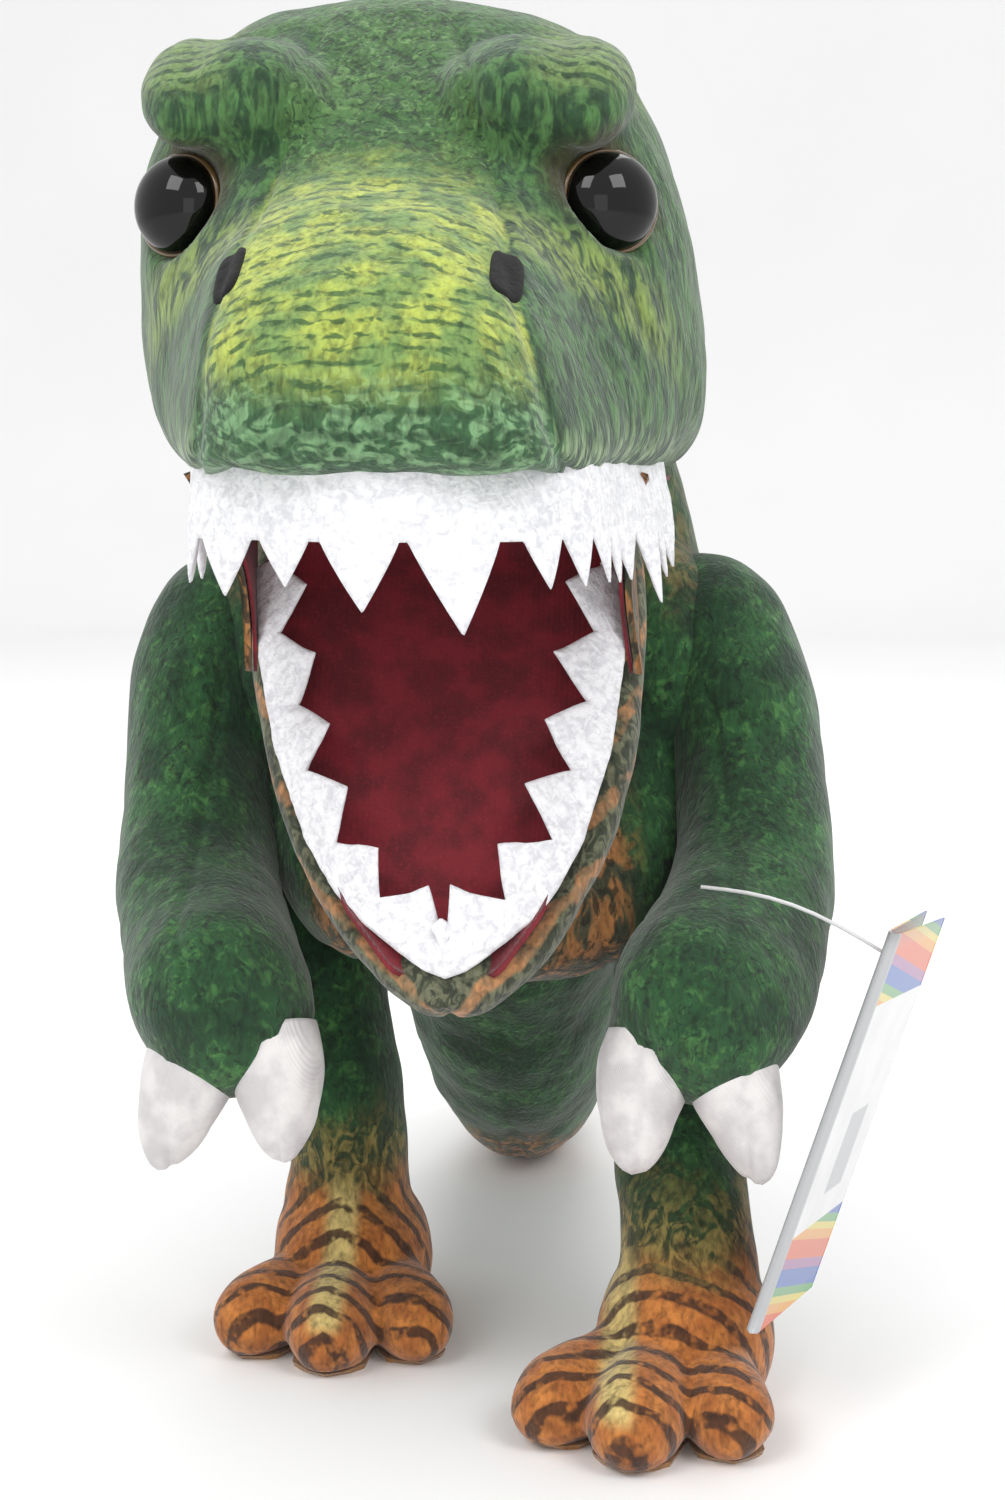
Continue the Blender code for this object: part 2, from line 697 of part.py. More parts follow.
def make_torso():
    skin = cut(flat_rings("skin", TORSO_STATIONS), flat_rings("inside", TORSO_STATIONS, -SKIN))
    torso_cutters(skin, 0.0)
    belly = keep(copy(skin, "belly_panel"), box("front", (-BELLY_SEAM_X, -0.1, 0.0), (BELLY_SEAM_X, 0.012, 0.3)))
    finish(belly, "belly_plush", "torso")
    seam = BELLY_SEAM_X + GAP
    cut(skin, box("front", (-seam, -0.1, 0.0), (seam, 0.012 + GAP, 0.3)))
    for side, sign in SIDES:
        low, high = (GAP / 2, 0.2) if sign > 0 else (-0.2, -GAP / 2)
        panel = keep(copy(skin, "back_panel_" + side), box("half", (low, -0.1, 0.0), (high, 0.2, 0.3)))
        finish(panel, "green_plush", "torso")
    bpy.data.objects.remove(skin, do_unlink=True)
    core = flat_rings("torso_stuffing", TORSO_STATIONS, -SKIN - CORE_GAP)
    torso_cutters(core, CORE_GAP)
    finish(core, "stuffing", "torso")


def beyond(sign, plane, low=0.0):
    """Everything on the body's side of a plane across X, above a height."""
    ends = sorted((-0.05 * sign, plane * sign))
    return box("inner_side", (ends[0], -0.2, low), (ends[1], 0.2, 0.3))


def make_arm(side, sign):
    skin = cut(sweep("arm_skin_" + side, ARM_STATIONS, 0.0, sign=sign),
               sweep("inside", ARM_STATIONS, -SKIN, sign=sign))
    cut(skin, beyond(sign, ARM_PLANE, ARM_PLANE_LOW))
    core = sweep("arm_stuffing_" + side, ARM_STATIONS, -SKIN - CORE_GAP, sign=sign)
    cut(core, beyond(sign, ARM_PLANE, ARM_PLANE_LOW))
    for name, spread in (("outer", 1.0), ("inner", -1.0)):
        root = mirrored(CLAW_ROOT + Vector((CLAW_SPREAD * spread, 0.0, 0.0)), sign)
        aim = mirrored(Vector((0.20 * spread + 0.08, -0.30, -0.93)).normalized(), sign)
        length = CLAW_LENGTH if spread > 0 else CLAW_LENGTH * CLAW_SHORTER
        profile = []
        for t in np.linspace(0.0, 1.0, 7):
            along = (length + CLAW_SEWN) * t - CLAW_SEWN
            profile.append((along, CLAW_RADIUS * (1.0 - t ** 2.4) + 0.0008))
        claw = lathe("claw_" + name + "_" + side, profile, root, aim, 12)
        cut(claw, sweep("arm", ARM_STATIONS, GAP, sign=sign))
        cut(claw, other_side(sign, spread))
        finish(claw, "satin", "arm_" + side)
    finish(skin, "green_plush", "arm_" + side)
    finish(core, "stuffing", "arm_" + side)


def other_side(sign, spread):
    """Everything past the line between an arm's two claws."""
    near = (CLAW_ROOT.x + spread * GAP / 2) * sign
    ends = sorted((near, near - 0.1 * spread * sign))
    return box("other_side", (ends[0], -0.2, 0.0), (ends[1], 0.1, 0.2))


def leg_rows(side):
    """The leg's stations, its lower half carried forward or back by the stride."""
    top, low = LEG_STATIONS[0][2], LEG_STATIONS[-1][2]
    rows = []
    for x, y, z, wide, deep in LEG_STATIONS:
        share = (top - z) / (top - low)
        moved = share ** 2.5
        rows.append((x + STEP_OUT[side] * moved, y + STRIDE[side] * moved, z, wide, deep))
    return rows


def foot_form(name, side, sign, grow):
    """The ball of the foot, an ankle stub and three toes, as one solid."""
    ankle = leg_rows(side)[-1]
    centre = Vector(((FOOT_X + STEP_OUT[side]) * sign, ankle[1] - FOOT_FORWARD, FOOT_MIDDLE))
    wide, long, tall = (r + grow for r in FOOT_BALL)
    arc = np.radians(np.linspace(-80, 80, 7))
    profile = [(math.sin(a), math.cos(a)) for a in arc]
    form = lathe(name, profile, Vector(), Vector((0.0, 0.0, 1.0)), 12)
    for vertex in form.data.vertices:
        vertex.co = Vector((vertex.co.x * wide, vertex.co.y * long, vertex.co.z * tall)) + centre
    for number, splay in enumerate((-TOE_SPLAY, 0.0, TOE_SPLAY)):
        wider, longer = MIDDLE_TOE if number == 1 else (0.0, 0.0)
        way = splay + FOOT_TURN[side]
        aim = Vector((math.sin(way), -math.cos(way), -0.06)).normalized()
        radius = TOE_RADIUS + grow + wider
        reach = TOE_REACH + grow + longer
        root = centre + Vector((math.sin(way) * TOE_ROOT, -0.3 * TOE_ROOT, TOE_LOW))
        shares = np.linspace(0.0, 1.0, 5)
        shape = [(reach * s, radius * (1.0 - s ** 5) ** 0.5 + 0.0009) for s in shares]
        join(form, lathe("toe", shape, root, aim, 8))
    height = 0.030 + max(-grow, 0.0) * 4
    stub = lathe("stub", ((0.0, ankle[3] + grow), (height, ankle[3] + grow)),
                 Vector((ankle[0] * sign, ankle[1], 0.010)), Vector((0.0, 0.0, 1.0)), 14)
    join(form, stub)
    cut(form, box("above", (-0.2, -0.2, ANKLE_TOP + (0.01 if grow else 0.0)), (0.2, 0.2, 0.2)))
    return form


def make_leg(side, sign):
    rows = leg_rows(side)
    body = "leg_" + side
    skin = cut(sweep("leg_skin_" + side, rows, 0.0, sign=sign), sweep("inside", rows, -SKIN, sign=sign))
    core = sweep("leg_stuffing_" + side, rows, -SKIN - CORE_GAP, sign=sign)
    for thing in (skin, core):
        cut(thing, beyond(sign, HIP_PLANE + JOINT_GAP, LEAN_FROM - 0.006))
        cut(thing, box("below", (-0.2, -0.2, 0.0), (0.2, 0.2, ANKLE_TOP + GAP)))
    finish(skin, "green_plush", body)
    finish(core, "stuffing", body)
    outer = foot_form("outer", side, sign, 0.0)
    under = box("floor", (-0.2, -0.2, -0.1), (0.2, 0.2, 0.0))
    cut(outer, under)
    sole = keep(copy(outer, "sole_" + side), box("slab", (-0.2, -0.2, -0.1), (0.2, 0.2, SOLE)))
    finish(sole, "belly_plush", body, leaning=False)
    cut(outer, box("slab", (-0.2, -0.2, -0.1), (0.2, 0.2, SOLE + GAP)))
    foot = cut(outer, foot_form("hollow", side, sign, -SKIN))
    foot.name = "foot_skin_" + side
    finish(foot, "foot_plush", body, leaning=False)
    filling = foot_form("foot_stuffing_" + side, side, sign, -SKIN - CORE_GAP)
    cut(filling, box("slab", (-0.2, -0.2, -0.1), (0.2, 0.2, SOLE + GAP)))
    cut(filling, box("above", (-0.2, -0.2, ANKLE_TOP - GAP), (0.2, 0.2, 0.2)))
    finish(filling, "stuffing", body, leaning=False)


def make_tail():
    skin = cut(upright_rings("tail_skin", TAIL_STATIONS), upright_rings("inside", TAIL_STATIONS, -SKIN))
    core = upright_rings("tail_stuffing", TAIL_STATIONS, -SKIN - CORE_GAP)
    for thing, low in ((skin, 0.0), (core, SKIN + CORE_GAP)):
        cut(thing, box("floor", (-0.1, 0.0, -0.1), (0.1, 0.3, low)))
        ahead = box("ahead", (-0.1, 0.0, 0.0), (0.1, TAIL_PIVOT.y, 0.2))
        up = Vector((0.0, 0.0, 0.21))
        cut(ahead, rod("knuckle", TAIL_PIVOT - up * 0.05, TAIL_PIVOT + up, TAIL_KNUCKLE, 20))
        cut(thing, ahead)
        cut(thing, box("root", (-0.1, 0.0, 0.0), (0.1, 0.0400, 0.2)))
    finish(skin, "green_plush", "tail", leaning=False)
    finish(core, "stuffing", "tail", leaning=False)


def make_tag():
    wide, tall, thick = TAG_SIZE
    top = TAG_MARGIN
    near = -TAG_EDGE
    card = box("tag_card", (near, -thick / 2, top - tall), (near + wide, thick / 2, top))
    hole = rod("hole", Vector((0.0, -0.01, 0.0)), Vector((0.0, 0.01, 0.0)), TAG_HOLE_RADIUS, 12)
    cut(card, hole)
    turn = Matrix.Rotation(TAG_LEAN, 4, "Y") @ Matrix.Rotation(TAG_TURN, 4, "Z")
    card.data.transform(Matrix.Translation(TAG_HOLE) @ turn)
    finish(card, "card", "tag", leaning=False)
    make_pin()


def make_pin():
    """The nylon pin: a thin filament from the arm's seam through the tag's hole."""
    across = TAG_HOLE - PIN_START
    route = [PIN_START + across * s + Vector((0.0, 0.0, PIN_BOW * math.sin(math.pi * s)))
             for s in np.linspace(0.0, 1.0, 9)]
    curve = bpy.data.curves.new("tag_pin", "CURVE")
    curve.dimensions = "3D"
    curve.bevel_depth = PIN_RADIUS
    curve.bevel_resolution = 2
    curve.use_fill_caps = True
    line = curve.splines.new("POLY")
    line.points.add(len(route) - 1)
    for point, place in zip(line.points, route):
        point.co = (*place, 1.0)
    pin = bpy.data.objects.new("tag_pin", curve)
    bpy.context.scene.collection.objects.link(pin)
    curve.materials.append(material("clear_plastic", *MATERIALS["clear_plastic"]))
    parent = BODIES["arm_left"]
    pin.parent = parent
    pin.matrix_parent_inverse = parent.matrix_world.inverted()


def centre_on_floor():
    """Carries the whole toy so that the origin is at the middle of its box, on the floor."""
    bpy.context.view_layer.update()
    graph = bpy.context.evaluated_depsgraph_get()
    corners = []
    for thing in bpy.context.scene.objects:
        if thing.type != "MESH":
            continue
        seen = thing.evaluated_get(graph)
        corners += [seen.matrix_world @ Vector(corner) for corner in seen.bound_box]
    spots = np.array(corners)
    middle = (spots.min(axis=0) + spots.max(axis=0)) / 2
    BODIES["torso"].location = (-middle[0], -middle[1], -spots.min(axis=0)[2])
    bpy.context.view_layer.update()


def main():
    clear_scene()
    make_bodies()
    make_head()
    make_upper_mouth()
    make_jaw()
    make_torso()
    make_tail()
    for side, sign in SIDES:
        make_eye(side, sign)
        make_brow(side, sign)
        make_nostril(side, sign)
        make_arm(side, sign)
        make_leg(side, sign)
    make_tag()
    centre_on_floor()


main()
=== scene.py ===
"""Looks of the stuffed theropod: printed plush skins, felt teeth, plastic eyes and a blank swing tag."""

import json
import math

import bpy
import numpy as np
from mathutils import Matrix, Vector


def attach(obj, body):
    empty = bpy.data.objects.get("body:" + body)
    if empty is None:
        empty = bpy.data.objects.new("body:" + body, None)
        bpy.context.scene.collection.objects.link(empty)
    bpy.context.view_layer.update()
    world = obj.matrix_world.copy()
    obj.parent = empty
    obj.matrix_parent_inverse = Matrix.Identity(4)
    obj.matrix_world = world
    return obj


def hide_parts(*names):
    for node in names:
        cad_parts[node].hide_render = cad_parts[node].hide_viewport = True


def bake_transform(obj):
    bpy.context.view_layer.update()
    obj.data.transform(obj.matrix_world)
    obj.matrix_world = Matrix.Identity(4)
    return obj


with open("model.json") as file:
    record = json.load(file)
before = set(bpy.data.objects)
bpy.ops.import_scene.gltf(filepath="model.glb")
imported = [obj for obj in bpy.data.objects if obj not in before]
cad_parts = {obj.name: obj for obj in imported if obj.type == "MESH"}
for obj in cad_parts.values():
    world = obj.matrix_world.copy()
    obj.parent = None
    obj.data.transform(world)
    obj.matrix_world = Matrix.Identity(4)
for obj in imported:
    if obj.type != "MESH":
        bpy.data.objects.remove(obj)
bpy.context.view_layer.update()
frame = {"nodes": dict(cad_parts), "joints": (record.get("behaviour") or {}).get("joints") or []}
JOINTS = {joint["name"]: joint for joint in frame["joints"]}

bl_info = {
    "name": "Plush theropod",
    "version": (1, 0, 0),
    "blender": (4, 5, 0),
    "location": "3D View > Sidebar > Plush",
    "description": "Sews the printed plush skins, the felt mouth and the trim of a stuffed dinosaur",
    "category": "Add Mesh",
}

SIDES = (("left", 1.0), ("right", -1.0))
TAIL_ROOT_Y = 0.058
# The toy leans to its right by LEAN of each metre above LEAN_FROM
LEAN = 0.08
LEAN_FROM = 0.085
# The toy's own middle line on the floor, worked out from its tail joint.
HOME = np.array([JOINTS["tail_sway"]["pos_m"][0], JOINTS["tail_sway"]["pos_m"][1] - TAIL_ROOT_Y, 0.0])

# Head stations from nape to nose: y, half width at the lip, half width at the top, lowest z, highest z
HEAD = (
    (0.061, 0.004, 0.003, 0.238, 0.246),
    (0.058, 0.020, 0.016, 0.218, 0.264),
    (0.050, 0.036, 0.029, 0.204, 0.278),
    (0.036, 0.047, 0.038, 0.197, 0.286),
    (0.018, 0.054, 0.045, 0.194, 0.291),
    (-0.004, 0.055, 0.048, 0.193, 0.2935),
    (-0.024, 0.053, 0.048, 0.193, 0.2885),
    (-0.044, 0.048, 0.0430, 0.193, 0.272),
    (-0.066, 0.043, 0.0290, 0.194, 0.252),
    (-0.090, 0.039, 0.0265, 0.194, 0.241),
    (-0.106, 0.035, 0.0240, 0.195, 0.231),
    (-0.115, 0.029, 0.0195, 0.197, 0.222),
    (-0.1195, 0.019, 0.0125, 0.201, 0.216),
    (-0.1205, 0.004, 0.003, 0.207, 0.211),
)
# Brow, left side, front to back: x, y, z, radius
BROW = (
    (0.0370, -0.0600, 0.2590, 0.0030), (0.0390, -0.0545, 0.2635, 0.0068), (0.0395, -0.0410, 0.2700, 0.0092),
    (0.0380, -0.0220, 0.2735, 0.0098), (0.0350, -0.0020, 0.2755, 0.0090), (0.0310, 0.0140, 0.2745, 0.0060),
    (0.0290, 0.0220, 0.2720, 0.0020),
)
# Left eye and nostril
EYE = np.array([0.0418, -0.0485, 0.2475])
EYE_AIM = np.array([0.46, -0.87, 0.12])
NOSTRIL = np.array([0.0250, -0.0990, 0.2325])
# Jaw from hinge to chin, laid flat: how far forward, half width, depth
JAW = (
    (-0.004, 0.010, 0.008), (-0.002, 0.032, 0.018), (0.004, 0.041, 0.024), (0.018, 0.0425, 0.0255),
    (0.038, 0.041, 0.025), (0.058, 0.0375, 0.0235), (0.078, 0.031, 0.021), (0.094, 0.0225, 0.018),
    (0.105, 0.0140, 0.014), (0.111, 0.0070, 0.009), (0.1130, 0.0015, 0.003),
)
JAW_HINGE = np.array([0.0, -0.012, 0.189])
JAW_DROP = math.radians(57)
# Trunk from seat to neck: z, middle y, half width, half depth
TORSO = (
    (0.081, 0.018, 0.004, 0.004), (0.0825, 0.018, 0.020, 0.020), (0.087, 0.018, 0.034, 0.031),
    (0.096, 0.019, 0.044, 0.038), (0.112, 0.024, 0.051, 0.038), (0.130, 0.032, 0.054, 0.034),
    (0.148, 0.038, 0.054, 0.032), (0.163, 0.041, 0.055, 0.031), (0.180, 0.044, 0.054, 0.031),
    (0.196, 0.045, 0.051, 0.031), (0.212, 0.042, 0.047, 0.030), (0.226, 0.038, 0.040, 0.027),
    (0.236, 0.034, 0.026, 0.018), (0.239, 0.033, 0.004, 0.004),
)
# Left arm from shoulder to wrist, and left leg from hip to ankle: x, y, z, radius across, radius along
ARM = (
    (0.045, 0.037, 0.1700, 0.002, 0.002), (0.050, 0.036, 0.1685, 0.009, 0.012),
    (0.056, 0.034, 0.1615, 0.0165, 0.0200), (0.060, 0.029, 0.1450, 0.0190, 0.0240),
    (0.0625, 0.018, 0.1250, 0.0175, 0.0222), (0.061, -0.005, 0.1050, 0.0178, 0.0195),
    (0.054, -0.031, 0.0930, 0.0188, 0.0195), (0.0485, -0.049, 0.0885, 0.0182, 0.0198),
    (0.046, -0.059, 0.0865, 0.0140, 0.0155), (0.0445, -0.064, 0.0855, 0.0068, 0.0075),
    (0.044, -0.0652, 0.0852, 0.0008, 0.0008),
)
LEG = (
    (0.040, 0.050, 0.130, 0.002, 0.002), (0.044, 0.049, 0.128, 0.013, 0.014),
    (0.048, 0.048, 0.118, 0.0185, 0.0200), (0.049, 0.045, 0.104, 0.0200, 0.0235),
    (0.047, 0.036, 0.088, 0.0195, 0.0230), (0.042, 0.023, 0.071, 0.0175, 0.0200),
    (0.036, 0.012, 0.054, 0.0150, 0.0165), (0.033, 0.006, 0.038, 0.0138, 0.0150),
    (0.033, 0.004, 0.020, 0.0150, 0.0160), (0.033, 0.004, 0.010, 0.0080, 0.0090),
)
# How far each foot is from its place under the hip, back and out, and its turn in degrees
STRIDE = {"left": -0.030, "right": 0.014}
STEP_OUT = {"left": 0.014, "right": 0.0}
FOOT_X = 0.032
FOOT_TURN = {"left": -12.0, "right": 0.0}
# Toes: splay in degrees, length, radius
TOES = ((-23.0, 0.0360, 0.0096), (0.0, 0.0420, 0.0106), (23.0, 0.0360, 0.0096))
# Tail from root to tip: y, z, half width, half height
TAIL = (
    (0.026, 0.116, 0.006, 0.006), (0.030, 0.114, 0.024, 0.024), (0.044, 0.109, 0.033, 0.033),
    (0.060, 0.101, 0.034, 0.033), (0.082, 0.078, 0.0305, 0.032), (0.108, 0.047, 0.0262, 0.029),
    (0.138, 0.0240, 0.021, 0.0235), (0.168, 0.0165, 0.016, 0.0165), (0.192, 0.0125, 0.0108, 0.0118),
    (0.206, 0.0108, 0.0062, 0.0070), (0.212, 0.0100, 0.0022, 0.0030),
)
CLAW_ROOT = np.array([0.0460, -0.0535, 0.0750])
CLAW_SPREAD = 0.0090
# The card: how it leans and turns, how far it reaches past its hole, and how much further out than its
# hole's middle it hangs, clear of the foot
TAG_LEAN = math.radians(18)
TAG_TURN = math.radians(72)
TAG_EDGE = 0.007
TAG_ABOVE_HOLE = 0.005
TAG_CLEAR = 0.0012
# Rounded forms on the left side: middle and radii
CHEEK_BULGE = ((0.040, 0.004, 0.217), (0.0165, 0.030, 0.021))
BROW_FILL = ((0.026, -0.032, 0.2650), (0.0185, 0.0300, 0.0165))
SHOULDER_BULGE = ((0.044, 0.034, 0.152), (0.020, 0.026, 0.028))
THROAT = ((0.0, -0.004, 0.1915), (0.041, 0.013, 0.0085))
FOOT_RADII = (0.0190, 0.0225, 0.0205)
CHEEK_PUFF = 0.0062
# The head's top gusset: half width at this height, and how fast it widens downwards
GUSSET_HALF = 0.0250
GUSSET_AT = 0.232
GUSSET_SPREAD = 0.21
# The lip's front, its felt's last stitch, and the length of its rounded corner
LIP_FRONT = -0.1165
LIP_BACK = -0.030
LIP_CORNER = 0.026
# The upper felt's sewn edge, how far inside the lip it is, and the plain band over each row of teeth
FELT_TOP = 0.2010
UPPER_FELT_INSET = 0.0042
UPPER_BAND = 0.0165
LOWER_BAND = 0.0062
# The mouth's roof and its lining
ROOF_RISE = 0.011
ROOF_LOW = 0.1922
PALATE_FRONT = -0.1105
PALATE_BACK = 0.0135
PALATE_INSET = 0.0056
PALATE_CORNER = 0.022
# The jaw's lining and felt, in the closed jaw's layout
BED_BACK = -0.004
BED_LENGTH = 0.110
BED_SUNK = 0.0052
JAW_FELT_INSET = 0.0038
# Thickness of each cloth
PALATE_THICK = 0.0010
BED_THICK = 0.0012
WEB_THICK = 0.0014
WEB_LINING_THICK = 0.0008
CARD_THICK = 0.00035
# The cheek webs' fan in degrees, two places handed along with them, and their layers:
# name, how far out, thickness, slot, finish
WEB_FAN = (-8.0, 62.0)
WEB_BEND = ((0.0, -0.025, 0.002), (0.0, -0.014, -0.021))
WEB_LAYERS = (
    ("cheek_skin_", 0.0012, WEB_THICK, "belly_plush", "cheek"),
    ("cheek_lining_", -0.0006, WEB_LINING_THICK, "mouth_fabric", "lining"),
)
# A nostril's felt: the way it faces, half width and half height, thickness, and how far it is sunk
NOSTRIL_AIM = (0.12, -0.88, 0.42)
NOSTRIL_HALF = (0.0031, 0.0068)
NOSTRIL_THICK = 0.0013
NOSTRIL_SUNK = 0.0008
NOSTRIL_TILT = math.radians(6)
# Only faces this near are tried when a pad is pressed on
PRESS_REACH = 0.040
CLAW_RADIUS = 0.0098
CLAW_SEWN = 0.010
CLAW_LENGTH = {"outer": 0.0205, "inner": 0.0180}
# The step moves the leg from here, nothing, down to here, wholly
LEG_TOP = 0.128
LEG_LOW = 0.034
TOE_SEWN = 0.008
# Half widths of the grooves that seams draw
SEAM = 0.0011
FINE_SEAM = 0.0010
# Heights on the neck handed along with the trunk, and lengths past its joint for the tail
NECK_BEND = (0.182, 0.218)
TAIL_BEND = (-0.020, 0.030)
# Lowest points of the legs and tail
LEG_FLOOR = 0.0017
TAIL_FLOOR = 0.0004
LENS = 56.0
CAMERA_AT = (0.044, -0.508, 0.200)
CAMERA_PITCH = math.radians(-7.3)
CAMERA_YAW = math.radians(4.45)
# Each lamp's place, width and watts, and what they face
LAMPS = (
    ((-0.7, -1.0, 1.3), 0.7, 9.0), ((0.8, -0.9, 1.2), 0.6, 7.0), ((0.0, 0.8, 1.5), 1.0, 7.0),
    ((0.1, -1.3, 0.30), 0.6, 1.0),
)
LAMPS_FACE = (0.0, 0.0, 0.14)
SKY_STRENGTH = 0.95

# Felt teeth: place along the felt from 0 to 1, half base as a share of it, height
UPPER_TIPS = (
    (0.045, 0.020, 0.0075), (0.090, 0.022, 0.0090), (0.137, 0.022, 0.0095), (0.185, 0.023, 0.0095),
    (0.235, 0.024, 0.0090), (0.290, 0.024, 0.0085), (0.352, 0.027, 0.0100), (0.415, 0.026, 0.0080),
    (0.485, 0.032, 0.0120), (0.560, 0.036, 0.0160), (0.640, 0.022, 0.0085), (0.688, 0.022, 0.0085),
    (0.736, 0.022, 0.0085), (0.784, 0.022, 0.0090), (0.830, 0.022, 0.0090), (0.880, 0.026, 0.0140),
    (0.935, 0.024, 0.0095), (0.980, 0.022, 0.0080),
)
LOWER_TIPS = (
    *((at, 0.040, 0.0085) for at in (0.045, 0.125, 0.205, 0.285, 0.365, 0.440)), (0.500, 0.026, 0.0055),
    *((1.0 - at, 0.040, 0.0090) for at in (0.440, 0.360, 0.280, 0.200, 0.120, 0.045)),
)

# Inks and dyes, in linear light, with the painted shade over the eyes and a partly painted highlight on the
# middle toe's ridge among them
MOSS = (0.022, 0.100, 0.028)
GREEN_GAP = (0.004, 0.018, 0.008)
CROWN_DARK = (0.040, 0.120, 0.030)
CROWN_MID = (0.075, 0.175, 0.050)
CROWN_FLECK = (0.150, 0.290, 0.095)
CROWN_GAP = (0.014, 0.042, 0.016)
SNOUT_LIME = (0.170, 0.290, 0.080)
SNOUT_SCALE = (0.032, 0.098, 0.026)
LIP_GREEN = (0.040, 0.115, 0.045)
LIP_MINT = (0.185, 0.350, 0.165)
LIP_ROW = (0.018, 0.055, 0.024)
CHEEK_DARK = (0.018, 0.062, 0.022)
CHEEK_STREAK = (0.070, 0.175, 0.050)
CHEEK_YELLOW = (0.260, 0.350, 0.075)
CHEEK_PALE = (0.330, 0.430, 0.240)
BROW_PALE = (0.170, 0.270, 0.080)
BROW_DARK = (0.030, 0.075, 0.024)
# Painted shade in the fold above each eye, under its brow
EYE_POCKET_SHADE = (0.060, 0.052, 0.018)
NECK_OLIVE = (0.055, 0.070, 0.030)
NECK_TAN = (0.30, 0.19, 0.075)
BELLY_OLIVE = (0.085, 0.085, 0.045)
BELLY_ORANGE = (0.46, 0.20, 0.065)
BELLY_DARK = (0.022, 0.022, 0.014)
JAW_GREY = (0.040, 0.050, 0.028)
JAW_OLIVE = (0.155, 0.160, 0.095)
JAW_TAN = (0.50, 0.235, 0.095)
JAW_BROWN = (0.30, 0.17, 0.08)
FOOT_RUST = (0.40, 0.125, 0.024)
# Partly the print's pale mid line on the middle toe, partly a painted highlight on the toe's ridge
FOOT_MIDLINE_AND_HIGHLIGHT = (0.66, 0.52, 0.19)
FOOT_BAR = (0.055, 0.020, 0.008)
SHANK_OLIVE = (0.030, 0.050, 0.016)
SHANK_TAN = (0.26, 0.20, 0.055)
TAIL_SADDLE = (0.008, 0.035, 0.014)
SATIN_SHADE = (0.50, 0.475, 0.48)
SATIN_WHITE = (0.66, 0.635, 0.63)
FELT_WHITE = (0.80, 0.80, 0.82)
FELT_SHADE = (0.60, 0.60, 0.63)
FELT_BLACK = (0.008, 0.008, 0.008)
FELT_PITCH = (0.003, 0.003, 0.003)
SOLE_TAN = (0.34, 0.17, 0.06)
SOLE_BROWN = (0.22, 0.11, 0.04)
EYE_BLACK = (0.0022, 0.0022, 0.0022)
EYE_AMBER = (0.115, 0.062, 0.018)
NYLON = (0.62, 0.62, 0.62)
FLOOR_LOW = (0.86, 0.86, 0.86)
CARD_GREY = (0.66, 0.66, 0.67)
CARD_PALE = (0.72, 0.72, 0.73)
CARD_BLOCK = (0.36, 0.37, 0.39)
CARD_SPINE = (0.42, 0.43, 0.44)
FLOOR_HIGH = (0.88, 0.88, 0.88)
SKY = (1.0, 1.0, 1.0, 1.0)
# Each stripe of the card: where it starts and its colour
CARD_STRIPES = (
    (0.0, (0.62, 0.13, 0.06)), (0.26, (0.66, 0.32, 0.08)), (0.40, (0.62, 0.52, 0.12)),
    (0.50, (0.14, 0.34, 0.14)), (0.62, (0.08, 0.15, 0.42)), (0.86, (0.34, 0.16, 0.32)),
)


class ToySizes(bpy.types.PropertyGroup):
    """Lengths that a maker would change."""
    voxel: bpy.props.FloatProperty(name="Skin grain", description="Edge of the cells that forms merge in",
                                   default=0.0013, unit="LENGTH")
    felt: bpy.props.FloatProperty(name="Felt", description="Thickness of the tooth felt", default=0.0018,
                                  unit="LENGTH")
    eye_radius: bpy.props.FloatProperty(name="Eye radius", description="Radius of a plastic eye and rim",
                                        default=0.0103, unit="LENGTH")
    tag_size: bpy.props.FloatVectorProperty(name="Tag", description="Width and height of the folded card",
                                            size=2, default=(0.042, 0.085), unit="LENGTH")


class ToyColours(bpy.types.PropertyGroup):
    """Leading colours of the print and the lining."""
    deep_green: bpy.props.FloatVectorProperty(name="Deep green", description="Shadowed print of the body",
                                              subtype="COLOR", size=3, default=(0.009, 0.046, 0.015))
    leaf_green: bpy.props.FloatVectorProperty(name="Leaf green", description="Light flecks of the body",
                                              subtype="COLOR", size=3, default=(0.066, 0.205, 0.050))
    snout_yellow: bpy.props.FloatVectorProperty(name="Snout", description="Yellow-green of the snout",
                                                subtype="COLOR", size=3, default=(0.44, 0.52, 0.085))
    foot_orange: bpy.props.FloatVectorProperty(name="Foot orange", description="Ground colour of the feet",
                                               subtype="COLOR", size=3, default=(0.56, 0.20, 0.040))
    lining_red: bpy.props.FloatVectorProperty(name="Lining", description="Dark red of the mouth",
                                              subtype="COLOR", size=3, default=(0.165, 0.008, 0.016))


def sizes():
    """The lengths set in the sidebar."""
    return bpy.context.scene.toy_sizes


def colours():
    """The colours set in the sidebar."""
    return bpy.context.scene.toy_colours


# Surfaces

def smoothstep(low, high, value):
    """0 at low and 1 at high, by 3 t^2 - 2 t^3 between."""
    t = np.clip((value - low) / (high - low), 0.0, 1.0)
    return t * t * (3.0 - 2.0 * t)


def flowing(rows, count):
    """Stations carried to `count` rows by Catmull-Rom cubics, evenly spaced along the run of the rows."""
    rows = np.asarray(rows, float)
    padded = np.concatenate([2 * rows[:1] - rows[1:2], rows, 2 * rows[-1:] - rows[-2:-1]])
    steps = np.linalg.norm(np.diff(rows[:, :3], axis=0), axis=1)
    run = np.concatenate([[0.0], np.cumsum(steps)])
    want = np.interp(np.linspace(0.0, run[-1], count), run, np.arange(len(rows)))
    cell = np.minimum(want.astype(int), len(rows) - 2)
    t = (want - cell)[:, None]
    a, b, c, d = (padded[cell + k] for k in range(4))
    bend = (2 * a - 5 * b + 4 * c - d) * t ** 2 + (3 * b - a - 3 * c + d) * t ** 3
    return 0.5 * (2 * b + (c - a) * t + bend)


def ring(count, square):
    """Unit superellipse |x|^n + |y|^n = 1 at even turns."""
    turn = np.linspace(0.0, 2 * math.pi, count, endpoint=False)
    c, s = np.cos(turn), np.sin(turn)
    return np.sign(c) * np.abs(c) ** (2 / square), np.sign(s) * np.abs(s) ** (2 / square)


